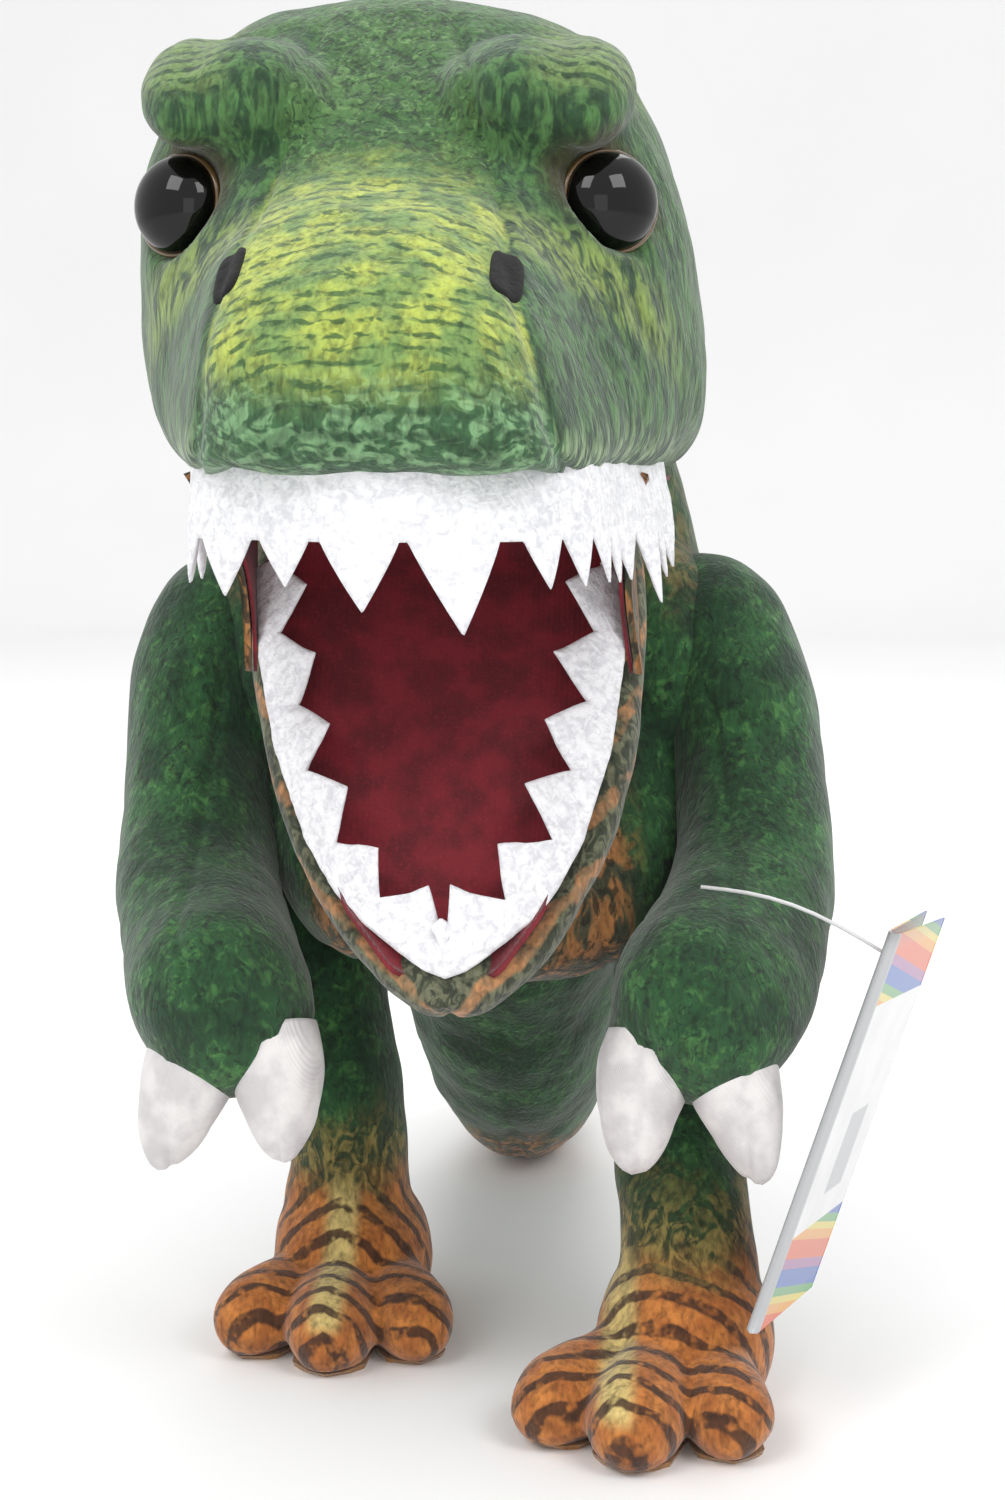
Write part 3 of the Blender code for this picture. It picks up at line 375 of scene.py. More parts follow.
def mirror(spot, sign):
    """A place on the toy's left, carried to its right where sign is -1."""
    return np.asarray(spot) * [sign, 1.0, 1.0]


def unit(ways):
    """Vectors divided by their own lengths."""
    return ways / np.linalg.norm(ways, axis=-1, keepdims=True)


def tube_mesh(name, rings):
    """Rings of equal count joined into one closed skin, with a middle point at each end."""
    rings = np.asarray(rings)
    rows, around = rings.shape[:2]
    ends = np.stack([rings[0].mean(axis=0), rings[-1].mean(axis=0)])
    points = np.concatenate([rings.reshape(-1, 3), ends])
    index = np.arange(rows * around).reshape(rows, around)
    following = np.roll(index, -1, axis=1)
    quads = np.stack([index[:-1], following[:-1], following[1:], index[1:]], -1).reshape(-1, 4)
    first_cap = np.stack([np.full(around, rows * around), following[0], index[0]], 1)
    last_cap = np.stack([np.full(around, rows * around + 1), index[-1], following[-1]], 1)
    return solid(name, points, quads.tolist() + first_cap.tolist() + last_cap.tolist())


def ring_mesh(name, rings):
    """A closed torus from a loop of rings."""
    rows, around = rings.shape[:2]
    index = np.arange(rows * around).reshape(rows, around)
    above = np.roll(index, -1, axis=0)
    quads = np.stack([index, np.roll(index, -1, axis=1), np.roll(above, -1, axis=1), above], -1)
    return solid(name, rings.reshape(-1, 3), quads.reshape(-1, 4).tolist())


def solid(name, points, faces):
    """A mesh object at the origin whose closed skin faces outwards."""
    mesh = bpy.data.meshes.new(name)
    mesh.from_pydata(np.asarray(points).tolist(), [], faces)
    made = bpy.data.objects.new(name, mesh)
    bpy.context.scene.collection.objects.link(made)
    if volume(mesh) < 0:
        mesh.flip_normals()
    mesh.shade_smooth()
    return made


def corners_of(mesh):
    """Each triangle's three points, as an array of shape (count, 3, 3)."""
    mesh.calc_loop_triangles()
    corners = np.empty(len(mesh.loop_triangles) * 3, np.int32)
    mesh.loop_triangles.foreach_get("vertices", corners)
    return points_of(mesh)[corners.reshape(-1, 3)]


def volume(mesh):
    """Six times the volume, positive where faces point outwards: the sum of a . (b x c) over triangles."""
    p = corners_of(mesh)
    return float(np.einsum("ij,ij->", p[:, 0], np.cross(p[:, 1], p[:, 2])))


def points_of(mesh):
    """All points, one row each."""
    flat = np.empty(len(mesh.vertices) * 3)
    mesh.vertices.foreach_get("co", flat)
    return flat.reshape(-1, 3)


def normals_of(mesh):
    """All point normals, one row each."""
    flat = np.empty(len(mesh.vertices) * 3, np.float32)
    mesh.vertex_normals.foreach_get("vector", flat)
    return flat.reshape(-1, 3).astype(float)


def put_points(mesh, points):
    """Writes all points back."""
    mesh.vertices.foreach_set("co", np.asarray(points, np.float32).ravel())
    mesh.update()


def head_rings(rows, around):
    """Rings across Y, cubic above and near-square below; each widens from lip to top, with a puff."""
    x, z = ring(around, 3.0)
    flat_x, flat_z = ring(around, 6.5)
    x, z = np.where(z < 0, flat_x, x), np.where(z < 0, flat_z, z)
    y, low_half, top_half, low, top = (column[:, None] for column in flowing(rows, 150).T)
    share = (z + 1) / 2
    face = smoothstep(-0.110, -0.050, y) * smoothstep(0.045, 0.0, y)
    puff = CHEEK_PUFF * face * np.sin(np.pi * share ** 0.7)
    half = np.maximum(low_half + (top_half - low_half) * share + puff, 0.0005)
    tall = np.maximum((top - low) / 2, 0.0005)
    return np.stack([x * half, np.broadcast_to(y, half.shape), (low + top) / 2 + z * tall], -1)


def sweep_rings(rows, count, around, sign=1.0, square=2.0):
    """Rings square to a path of (x, y, z, radius across X, radius along); sign mirrors the path in X."""
    rows = flowing(rows, count)
    rows[:, 0] *= sign
    tangent = unit(np.gradient(rows[:, :3], axis=0))
    across = unit(np.array([1.0, 0.0, 0.0]) - tangent * tangent[:, :1])
    along = np.cross(tangent, across)
    u, v = ring(around, square)
    wide = np.maximum(rows[:, 3], 0.0003)[:, None, None]
    deep = np.maximum(rows[:, 4], 0.0003)[:, None, None]
    return (rows[:, None, :3] + u[None, :, None] * wide * across[:, None]
            + v[None, :, None] * deep * along[:, None])


def torso_rings():
    """Level rings up the trunk, a little squarer than an ellipse."""
    z, middle, wide, deep = (column[:, None] for column in flowing(TORSO, 90).T)
    u, v = ring(96, 2.2)
    wide, deep = np.maximum(wide, 0.0005), np.maximum(deep, 0.0005)
    return np.stack([u * wide, middle + v * deep, np.broadcast_to(z, (len(z), 96))], -1)


def ball(centre, radii, count=40):
    """An ellipsoid as rings along Z: cos(turn) across and sin(turn) up, times the radii."""
    turn = np.linspace(-math.pi / 2, math.pi / 2, count)[:, None]
    u, v = ring(count, 2.0)
    flat = np.maximum(np.cos(turn), 0.01)
    rings = np.stack([u * flat, v * flat, np.broadcast_to(np.sin(turn), (count, count))], -1)
    return rings * np.asarray(radii) + np.asarray(centre)


def turned(profile, root, aim, around=64):
    """A (distance along aim, radius) profile turned about aim."""
    profile = np.asarray(profile, float)
    aim = unit(np.asarray(aim, float))
    side = unit(np.cross(aim, [0.0, 0.0, 1.0]))
    other = np.cross(aim, side)
    turn = np.linspace(0.0, 2 * math.pi, around, endpoint=False)
    circle = np.cos(turn)[:, None] * side + np.sin(turn)[:, None] * other
    return (np.asarray(root) + profile[:, 0, None, None] * aim
            + np.maximum(profile[:, 1], 2e-5)[:, None, None] * circle)


def merged(name, parts, voxel, rounds):
    """Several closed skins grown into one by a voxel remesh, then relaxed so that their joins flow."""
    first = tube_mesh(name, parts[0])
    others = [tube_mesh(name + "_part", rings) for rings in parts[1:]]
    with bpy.context.temp_override(active_object=first, selected_editable_objects=[first] + others):
        if others:
            bpy.ops.object.join()
    apply(first, "REMESH", mode="VOXEL", voxel_size=voxel, use_smooth_shade=True)
    apply(first, "SMOOTH", factor=0.6, iterations=rounds)
    first.data.shade_smooth()
    return first


def apply(thing, kind, **settings):
    """Adds one modifier, with its settings, and bakes it into the mesh."""
    step = thing.modifiers.new(kind, kind)
    for key, value in settings.items():
        setattr(step, key, value)
    graph = bpy.context.evaluated_depsgraph_get()
    made = bpy.data.meshes.new_from_object(thing.evaluated_get(graph))
    thing.modifiers.clear()
    old = thing.data
    thing.data = made
    bpy.data.meshes.remove(old)


def wave_noise(points, scale, seed):
    """Smooth noise between about -1 and 1: a sum of twelve sine waves in seeded directions."""
    draw = np.random.default_rng(seed)
    ways = unit(draw.normal(size=(12, 3)))
    phase = draw.uniform(0.0, 2 * math.pi, 12)
    pitch = draw.uniform(0.7, 1.6, 12)
    return np.sin((points @ ways.T) * (pitch * 2 * math.pi / scale) + phase).sum(axis=1) / 4.0


def groove(distance, width):
    """Depth of a sewn seam, 1 on its line and falling away as a bell."""
    return np.exp(-(distance / width) ** 2)


def plump(thing, seed, amount=0.0006, seam=None, seam_depth=0.0010):
    """Moves the skin in and out along its normals: soft lumps of stuffing, and any sewn seam."""
    mesh = thing.data
    points, normals = points_of(mesh), normals_of(mesh)
    shift = amount * wave_noise(points, 0.034, seed) + 0.35 * amount * wave_noise(points, 0.013, seed + 1)
    if seam is not None:
        shift -= seam_depth * seam(points)
    put_points(mesh, points + normals * shift[:, None])


def place(thing, body, nodes=(), lean=True, colour=None):
    """Leans a finished piece with the toy, carries it home, and hands it to its body when body is a name;
    any other body only has the piece's place baked in.
    """
    points = points_of(thing.data)
    if lean:
        points[:, 0] -= LEAN * np.maximum(points[:, 2] - LEAN_FROM, 0.0)
    put_points(thing.data, points + HOME)
    if colour:
        thing.data.materials.clear()
        thing.data.materials.append(colour)
    if isinstance(body, str):
        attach(thing, body)
    else:
        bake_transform(thing)
    if nodes:
        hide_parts(*nodes)
    return thing


def leaned(spot):
    """A place moved sideways with the toy's lean, by LEAN for each metre above LEAN_FROM."""
    return np.array([spot[0] - LEAN * max(spot[2] - LEAN_FROM, 0.0), spot[1], spot[2]])


def keep_above(mesh, floor):
    """Flattens whatever would go lower than floor."""
    points = points_of(mesh)
    points[:, 2] = np.maximum(points[:, 2], floor)
    put_points(mesh, points)


def refinish(node, material):
    """Gives a solid that stays in view a finish of its own."""
    slots = frame["nodes"][node].data.materials
    slots.clear()
    slots.append(material)


# Shader expressions

class Value:
    """A socket whose operators add Math nodes."""

    def __init__(self, paint, socket):
        self.paint, self.socket = paint, socket

    def math(self, what, *others):
        """One Math node whose first input is this value."""
        return self.paint.node("ShaderNodeMath", {"operation": what}, dict(enumerate((self, *others))))

    def __add__(self, other):
        return self.math("ADD", other)

    def __sub__(self, other):
        return self.math("SUBTRACT", other)

    def __rsub__(self, other):
        return (self * -1.0) + other

    def __mul__(self, other):
        return self.math("MULTIPLY", other)

    def abs(self):
        return self.math("ABSOLUTE")

    def wave(self, pitch):
        """A sine that repeats every pitch metres."""
        return (self * (2 * math.pi / pitch)).math("SINE")

    def step(self, low, high):
        """0 below low, 1 above high, smooth between."""
        return self.paint.node("ShaderNodeMapRange", {"interpolation_type": "SMOOTHSTEP"},
                               {"Value": self, "From Min": low, "From Max": high})


class Paint:
    """One material's node tree, read in the toy's own frame."""

    def __init__(self, name):
        self.material = bpy.data.materials.new(name)
        self.material.use_nodes = True
        self.tree = self.material.node_tree
        self.shader = self.tree.nodes["Principled BSDF"]
        where = self.node("ShaderNodeTexCoord", {}, {}, "Object")
        home = self.node("ShaderNodeVectorMath", {"operation": "SUBTRACT"}, {0: where, 1: tuple(HOME)})
        self.point = home
        parts = self.tree.nodes.new("ShaderNodeSeparateXYZ")
        self.tree.links.new(home.socket, parts.inputs[0])
        self.x, self.y, self.z = (Value(self, socket) for socket in parts.outputs)

    def aside(self):
        """Distance from the toy's middle line, which leans sideways above LEAN_FROM."""
        return (self.x + (self.z - LEAN_FROM) * LEAN).abs()

    def node(self, kind, settings, inputs, output=0):
        """Adds a node, links or sets its inputs, and gives one of its outputs."""
        made = self.tree.nodes.new(kind)
        for key, value in settings.items():
            setattr(made, key, value)
        for key, value in inputs.items():
            socket = made.inputs[key]
            if isinstance(value, Value):
                self.tree.links.new(value.socket, socket)
            else:
                socket.default_value = value
        return Value(self, made.outputs[output])

    def noise(self, scale, detail=3.0, stretch=(1.0, 1.0, 1.0), distort=0.0, rough=0.55,
              turn=(0.0, 0.0, 0.0)):
        """Smooth noise, drawn out and turned by a Mapping node."""
        where = self.node("ShaderNodeMapping", {}, {"Vector": self.point, "Rotation": turn,
                                                    "Scale": stretch})
        return self.node("ShaderNodeTexNoise", {}, {"Vector": where, "Scale": scale, "Detail": detail,
                                                    "Roughness": rough, "Distortion": distort}, "Fac")

    def mix(self, share, a, b):
        """Colour a where share is 0 and b where it is 1."""
        made = self.tree.nodes.new("ShaderNodeMix")
        made.data_type = "RGBA"
        for index, value in ((0, share), (6, a), (7, b)):
            if isinstance(value, Value):
                self.tree.links.new(value.socket, made.inputs[index])
            elif index == 0:
                made.inputs[index].default_value = value
            else:
                made.inputs[index].default_value = (*tuple(value)[:3], 1.0)
        return Value(self, made.outputs[2])

    def plush(self, colour, bump=0.5, sheen=0.25, roughness=0.92):
        """Short pile: a combed fine bump, painted shade in the hollows between the pile's tips, and a soft
        sheen.
        """
        strand = self.noise(900.0, 2.0, (1.0, 1.0, 0.35), 0.4)
        tuft = self.noise(330.0, 3.0, (1.0, 1.0, 0.6), 0.8)
        shade = (strand * 0.55 + tuft * 0.45).step(0.30, 0.70)
        # Painted shade: the colour darkened to 0.38 of itself where the pile's bump is low, between the
        # tufts.
        hollow_shade = self.mix(shade * 0.45, self.mix(0.62, colour, (0.0, 0.0, 0.0)), colour)
        lit = self.mix(shade, hollow_shade, colour)
        height = strand * 0.5 + tuft * 0.8
        return self.finish(lit, roughness, height, bump, 0.0012, sheen)

    def finish(self, colour, roughness, height=None, bump=0.5, deep=0.001, sheen=0.0, coat=0.0):
        """Puts colour, roughness, bump, sheen and coat on the surface, and gives the material."""
        inputs = self.shader.inputs
        if isinstance(colour, Value):
            self.tree.links.new(colour.socket, inputs["Base Color"])
        else:
            inputs["Base Color"].default_value = (*tuple(colour)[:3], 1.0)
        inputs["Roughness"].default_value = roughness
        inputs["Sheen Weight"].default_value = sheen
        inputs["Sheen Roughness"].default_value = 0.45
        inputs["Coat Weight"].default_value = coat
        if height is not None:
            normal = self.node("ShaderNodeBump", {}, {"Height": height, "Strength": bump, "Distance": deep},
                               "Normal")
            self.tree.links.new(normal.socket, inputs["Normal"])
        return self.material


def green_print(p):
    """Deep green broken by leaf-green flecks and near-black gaps."""
    patch = p.noise(75.0, 3.0)
    fleck = p.noise(330.0, 2.5, (1.0, 1.0, 0.75), 1.2)
    gap = p.noise(400.0, 2.0, (1.0, 1.0, 0.8), 1.6)
    ground = p.mix(patch.step(0.36, 0.66), colours().deep_green, MOSS)
    flecked = p.mix(fleck.step(0.50, 0.66) * 0.8 * patch.step(0.30, 0.62), ground, colours().leaf_green)
    return p.mix(gap.step(0.55, 0.68) * 0.75, flecked, GREEN_GAP)


def crown_print(p):
    """Mottled mid green with dark and pale flecks."""
    fleck = p.noise(360.0, 2.5, (1.0, 1.0, 1.0), 1.5)
    gap = p.noise(430.0, 2.0, (1.0, 1.0, 1.0), 1.2)
    patch = p.noise(60.0, 2.0)
    ground = p.mix(patch.step(0.35, 0.65), CROWN_DARK, CROWN_MID)
    flecked = p.mix(fleck.step(0.52, 0.66) * 0.75, ground, CROWN_FLECK)
    return p.mix(gap.step(0.50, 0.62) * 0.8, flecked, CROWN_GAP)


def snout_print(p, rows):
    """Yellow-green with dark scales: rows across, broken by wandering columns and by noise."""
    columns = (p.x + p.noise(95.0, 2.0) * 0.0100).wave(0.0054)
    fray = p.noise(430.0, 2.5, (0.6, 1.0, 1.0), 1.2)
    dark = (rows * 0.50 + rows * columns * 0.30 + fray * 3.4 - 1.75).step(0.0, 0.70) * 0.85
    yellow = p.mix(p.noise(110.0, 3.0).step(0.36, 0.62), colours().snout_yellow, SNOUT_LIME)
    return p.mix(dark, yellow, SNOUT_SCALE)


def lip_print(p, rows):
    """Green and mint flecks, darkened a little by the snout's rows."""
    fleck = p.noise(300.0, 2.5, (0.7, 1.0, 1.0), 1.4)
    mint = p.mix(fleck.step(0.44, 0.60), LIP_GREEN, LIP_MINT)
    return p.mix(rows.step(0.2, 0.9) * 0.45, mint, LIP_ROW)


def cheek_print(p):
    """Streaks that run down and back, a yellow band, pale ends at the lip, and green behind."""
    streak = p.noise(330.0, 2.5, (1.0, 1.0, 0.28), 0.8, 0.6, (math.radians(-28), 0.0, 0.0))
    cheek = p.mix(streak.step(0.42, 0.60), CHEEK_DARK, CHEEK_STREAK)
    band_middle = (p.z - 0.2420 + (p.y + 0.080) * 0.55).abs()
    band = (band_middle * -1.0).step(-0.014, -0.003) * (p.y * -1.0).step(0.030, 0.060)
    cheek = p.mix(band * streak.step(0.36, 0.60) * 0.85, cheek, CHEEK_YELLOW)
    pale = (p.z * -1.0).step(-0.2080, -0.1970) * streak.step(0.46, 0.62)
    cheek = p.mix(pale * 0.8, cheek, CHEEK_PALE)
    return p.mix(p.y.step(-0.030, 0.020), cheek, green_print(p))


def brow_print(p, warp):
    """Pale scales with dark rows between."""
    rows = (p.y * 0.8 + p.z * 0.7 + warp * 0.003).wave(0.0040)
    return p.mix(rows.step(-0.3, 0.6) * p.noise(420.0, 2.0).step(0.38, 0.55), BROW_PALE, BROW_DARK)


def head_paint():
    """Each print in its place: snout over lip, crown behind, cheeks past the gusset and brows; and painted
    shade in the fold above each eye, under its brow.
    """
    p = Paint("head_plush")
    warp = p.noise(55.0, 2.0)
    # Distance down the face: over the snout, then down its front.
    run = (p.z * -1.0 + 0.227).math("MAXIMUM", 0.0) - p.y
    rows = (run + warp * 0.0075).wave(0.0041)
    lip_band = ((p.z + warp * 0.012) * -1.0).step(-0.2240, -0.2110)
    front = p.mix(lip_band, snout_print(p, rows), lip_print(p, rows))
    over = ((p.y + warp * 0.020) * -1.0).step(0.046, 0.068)
    top = p.mix(over, crown_print(p), front)
    cheek = cheek_print(p)
    aside = p.aside()
    past_seam = aside - (p.z * -1.0 + GUSSET_AT) * GUSSET_SPREAD
    outside = past_seam.step(GUSSET_HALF - 0.0006, GUSSET_HALF + 0.0006)
    face = p.mix(outside * (p.y * -1.0).step(0.020, 0.034), top, cheek)
    face = p.mix(outside * p.y.step(-0.034, -0.010), face, cheek)
    on_brow = (p.z - 0.2650).step(0.0, 0.006) * aside.step(0.026, 0.034)
    face = p.mix(on_brow * (p.y * -1.0).step(0.004, 0.022) * 0.85, face, brow_print(p, warp))
    dx = aside - float(EYE[0])
    dy = p.y - float(EYE[1])
    dz = p.z - float(EYE[2])
    from_eye = (dx * dx + dy * dy + dz * dz).math("SQRT")
    # Painted shade: dark olive in a ring above each eye, where the brow overhangs the eye's pocket.
    fold = (from_eye * -1.0).step(-0.0185, -0.0125) * (p.z - 0.2470).step(-0.010, 0.004)
    return p.plush(p.mix(fold * 0.85, face, EYE_POCKET_SHADE))


def body_paint():
    """Green back and sides, olive to orange down the front."""
    p = Paint("body_plush")
    warp = p.noise(60.0, 3.0)
    belly = belly_print(p)
    front = (p.y * -1.0 + warp * 0.03).step(0.004, 0.022)
    aside = p.aside()
    share = front * (aside * -1.0).step(-0.040, -0.030)
    low = (p.z * -1.0).step(-0.175, -0.160)
    olive = p.mix(p.noise(230.0, 2.5, (1.0, 1.0, 0.5), 1.2).step(0.42, 0.60), NECK_OLIVE,
                  NECK_TAN)
    green = green_print(p)
    neck = p.mix((p.y * -1.0).step(-0.062, -0.020), green, p.mix(0.55, green, olive))
    body = p.mix(low, neck, green)
    return p.plush(p.mix(share, body, belly))


def belly_print(p):
    """Orange-tan blotches and dark bars across olive."""
    blotch = p.noise(190.0, 2.5, (1.0, 1.0, 0.45), 1.0, turn=(0.5, 0.6, 0.0))
    dark = p.noise(310.0, 2.5, (1.0, 1.0, 0.6), 1.4)
    ground = p.mix(blotch.step(0.44, 0.58), BELLY_OLIVE, BELLY_ORANGE)
    return p.mix(dark.step(0.50, 0.60) * 0.8, ground, BELLY_DARK)


def jaw_paint():
    """Olive and dark-grey scales with orange-tan bars that slant towards the chin."""
    p = Paint("jaw_plush")
    aside = p.aside()
    warp = p.noise(90.0, 2.0)
    bars = (p.z - aside * 0.9 + warp * 0.010).wave(0.0115)
    ground = p.mix(p.noise(340.0, 2.5, (1.0, 1.0, 0.7), 1.2).step(0.42, 0.58), JAW_GREY,
                   JAW_OLIVE)
    tan = p.mix(p.noise(420.0, 2.0).step(0.35, 0.60), JAW_TAN, JAW_BROWN)
    return p.plush(p.mix(bars.step(0.25, 0.80) * p.noise(120.0, 2.0).step(0.36, 0.50), ground, tan))


def cheek_paint():
    """Olive and orange streaks that run back from the mouth's corner."""
    p = Paint("cheek_plush")
    return p.plush(belly_print(p))


def leg_paint(side):
    """Green thigh, olive shank, and orange toes barred with brown."""
    sign = 1.0 if side == "left" else -1.0
    middle_y = LEG[7][1] + STRIDE[side]
    p = Paint("leg_plush_" + side)
    warp = p.noise(70.0, 3.0)
    across = p.x - FOOT_X * sign
    along = p.y - middle_y
    bars = (along + p.z * 0.55 + across.abs() * 0.35 + warp * 0.008).wave(0.0072)
    orange = p.mix(p.noise(210.0, 2.5).step(0.36, 0.64), FOOT_RUST, colours().foot_orange)
    # Pale yellow along the top of the middle toe: the print's mid line, brightened as a painted highlight
    # where light falls on the ridge.
    ridge_line_and_highlight = (across.abs() * -1.0).step(-0.0052, -0.0016) * p.z.step(0.010, 0.014)
    orange = p.mix(ridge_line_and_highlight * 0.9, orange, FOOT_MIDLINE_AND_HIGHLIGHT)
    barred = p.mix(bars.step(0.15, 0.70) * p.noise(260.0, 2.0).step(0.30, 0.50) * 0.92, orange,
                   FOOT_BAR)
    olive = p.mix(p.noise(280.0, 2.5, (1.0, 1.0, 0.6), 1.4).step(0.42, 0.60), SHANK_OLIVE,
                  SHANK_TAN)
    rise = p.z + warp * 0.020
    shank = p.mix(rise.step(0.048, 0.064), olive, green_print(p))
    return p.plush(p.mix(rise.step(0.034, 0.050), barred, shank))


def limb_paint():
    """The body's green print on the arms."""
    p = Paint("limb_plush")
    return p.plush(green_print(p))


def tail_paint():
    """Green with darker saddles, and an olive underside."""
    p = Paint("tail_plush")
    saddle = (p.y + p.noise(45.0, 2.0) * 0.02).wave(0.034)
    green = p.mix(saddle.step(0.1, 0.8) * 0.55, green_print(p), TAIL_SADDLE)
    under = (p.z * -1.0 + p.noise(60.0, 3.0) * 0.02).step(-0.010, 0.004)
    return p.plush(p.mix(under, green, belly_print(p)))


def lining_paint():
    """Fine red pile with a faint rib."""
    p = Paint("mouth_lining")
    rib = p.x.wave(0.0011)
    patch = p.noise(140.0, 3.0)
    fine = p.noise(1600.0, 2.0)
    red = colours().lining_red
    tone = p.mix(patch.step(0.35, 0.65), [0.62 * c for c in red], [1.15 * c for c in red])
    tone = p.mix(fine.step(0.5, 0.75) * 0.35, tone, [1.9 * c + 0.01 for c in red])
    return p.finish(tone, 0.85, rib * 0.25 + fine, 0.35, 0.0004, 0.15)


def felt_paint(name, colour, shade, sheen=0.3):
    """Matted fibres: a fine cross-hatch of stretched noise over a clean ground."""
    p = Paint(name)
    one = p.noise(700.0, 3.0, (1.0, 0.25, 1.0), 1.0)
    two = p.noise(700.0, 3.0, (0.25, 1.0, 0.5), 1.0)
    tone = p.mix((one * 0.5 + two * 0.5).step(0.36, 0.60), shade, colour)
    return p.finish(tone, 0.95, one + two, 0.5, 0.0007, sheen)


def satin_paint():
    """Off-white satin with a fine diagonal twill."""
    p = Paint("claw_satin")
    twill = (p.x + p.z * 0.6 - p.y * 0.4).wave(0.0006)
    tone = p.mix(p.noise(120.0, 3.0).step(0.35, 0.65), SATIN_SHADE, SATIN_WHITE)
    return p.finish(tone, 0.42, twill * 0.4 + p.noise(250.0, 3.0), 0.22, 0.0005, 0.2)


def gloss_paint(name, colour, roughness, coat=0.6, specular=0.5):
    """Moulded plastic, clear-coated, with the faintest ripple."""
    p = Paint(name)
    tone = p.mix(p.noise(40.0).step(0.3, 0.7), colour, [c * 0.85 + 0.0005 for c in colour])
    p.shader.inputs["Specular IOR Level"].default_value = specular
    return p.finish(tone, roughness, p.noise(60.0), 0.02, 0.0003, 0.0, coat)


def tag_paint():
    """Card with a pale blank panel between two bands of coloured stripes, read in the card's own UV."""
    p = Paint("tag_card_print")
    flat = p.node("ShaderNodeUVMap", {"uv_map": "card"}, {})
    parts = p.tree.nodes.new("ShaderNodeSeparateXYZ")
    p.tree.links.new(flat.socket, parts.inputs[0])
    u, v = Value(p, parts.outputs[0]), Value(p, parts.outputs[1])
    stripe = (u * 0.55 + v * 5.2).math("FRACT")
    ramp = p.tree.nodes.new("ShaderNodeValToRGB")
    ramp.color_ramp.interpolation = "CONSTANT"
    stops = ramp.color_ramp.elements
    while len(stops) < len(CARD_STRIPES):
        stops.new(0.5)
    for stop, (at, colour) in zip(stops, CARD_STRIPES):
        stop.position = at
        stop.color = (*colour, 1.0)
    p.tree.links.new(stripe.socket, ramp.inputs[0])
    bands = Value(p, ramp.outputs[0])
    middle = (v - 0.53).abs()
    panel = p.mix(p.noise(90.0).step(0.3, 0.7), CARD_GREY, CARD_PALE)
    block = u.step(0.42, 0.44) * (1.0 - u.step(0.74, 0.76)) * (1.0 - (v - 0.42).abs().step(0.10, 0.11))
    face = p.mix(middle.step(0.290, 0.295), p.mix(block * 0.8, panel, CARD_BLOCK), bands)
    spine = (u * -1.0).step(-0.075, -0.065)
    return p.finish(p.mix(spine, face, CARD_SPINE), 0.35, p.noise(400.0), 0.05, 0.0002, 0.0, 0.3)


MATERIALS = {}


def mix_shared_finishes():
    """The finishes that more than one piece, or a kept solid, wears."""
    MATERIALS.update({
        "lining": lining_paint(),
        "felt": felt_paint("tooth_felt", FELT_WHITE, FELT_SHADE),
        "black_felt": felt_paint("nostril_felt", FELT_BLACK, FELT_PITCH, 0.02),
        "satin": satin_paint(),
        "eye": gloss_paint("eye_black", EYE_BLACK, 0.05, 0.0, 0.32),
        "rim": gloss_paint("eye_amber", EYE_AMBER, 0.22, 0.8),
        "nylon": gloss_paint("nylon", NYLON, 0.30, 0.3),
        "limb": limb_paint(),
        "cheek": cheek_paint(),
        "sole": felt_paint("sole_cloth", SOLE_TAN, SOLE_BROWN),
    })


# Pieces

def lip_half(y):
    """The head's half width at the lip, read along its stations."""
    return np.interp(y, [row[0] for row in HEAD[::-1]], [row[1] for row in HEAD[::-1]])


def seam_lines(points):
    """The gusset's two seams down the head and the crown's short one, each a bell across its line."""
    x, y, z = points.T
    edge = GUSSET_HALF + (GUSSET_AT - z) * GUSSET_SPREAD
    line = groove(np.abs(x) - edge, SEAM) * smoothstep(-0.018, -0.034, y) * (z > 0.196)
    crown = groove(x, FINE_SEAM) * smoothstep(0.274, 0.282, z) * 0.7
    return line + crown


def roof_lift(x, y, inset=0.0045):
    """How far the mouth's roof domes up at a point, nothing at the lip."""
    room = np.minimum(lip_half(y) - inset - np.abs(x), (y - LIP_FRONT - inset) * 1.2)
    return ROOF_RISE * smoothstep(0.0, 0.022, room) * smoothstep(0.016, -0.014, y)


def make_head_skin():
    """The head, brows and cheeks merged, domed inside the mouth, and pressed in behind each eye."""
    parts = [head_rings(HEAD, 140)]
    for _, sign in SIDES:
        parts.append(sweep_rings([(x, y, z, r, r) for x, y, z, r in BROW], 60, 40, sign))
        for middle, radii in (CHEEK_BULGE, BROW_FILL):
            parts.append(ball(mirror(middle, sign), radii))
    skin = merged("head_skin", parts, sizes().voxel, 12)
    mesh = skin.data
    points, normals = points_of(mesh), normals_of(mesh)
    low = smoothstep(-0.2, -0.7, normals[:, 2]) * (points[:, 2] < 0.204)
    points[:, 2] += low * roof_lift(points[:, 0], points[:, 1])
    for _, sign in SIDES:
        from_eye = points - mirror(EYE, sign)
        aim = unit(mirror(EYE_AIM, sign))
        pocket = smoothstep(0.0135, 0.0085, np.linalg.norm(from_eye, axis=1))
        points -= aim * (pocket * np.maximum(from_eye @ aim + 0.0010, 0.0))[:, None]
    put_points(mesh, points)
    plump(skin, 11, 0.0005, seam_lines)
    nodes = ["head_top_panel", "head_side_left", "head_side_right", "head_stuffing"]
    nodes += ["brow_left", "brow_right", "eye_washer_left", "eye_washer_right"]
    place(skin, "head", nodes, colour=head_paint())


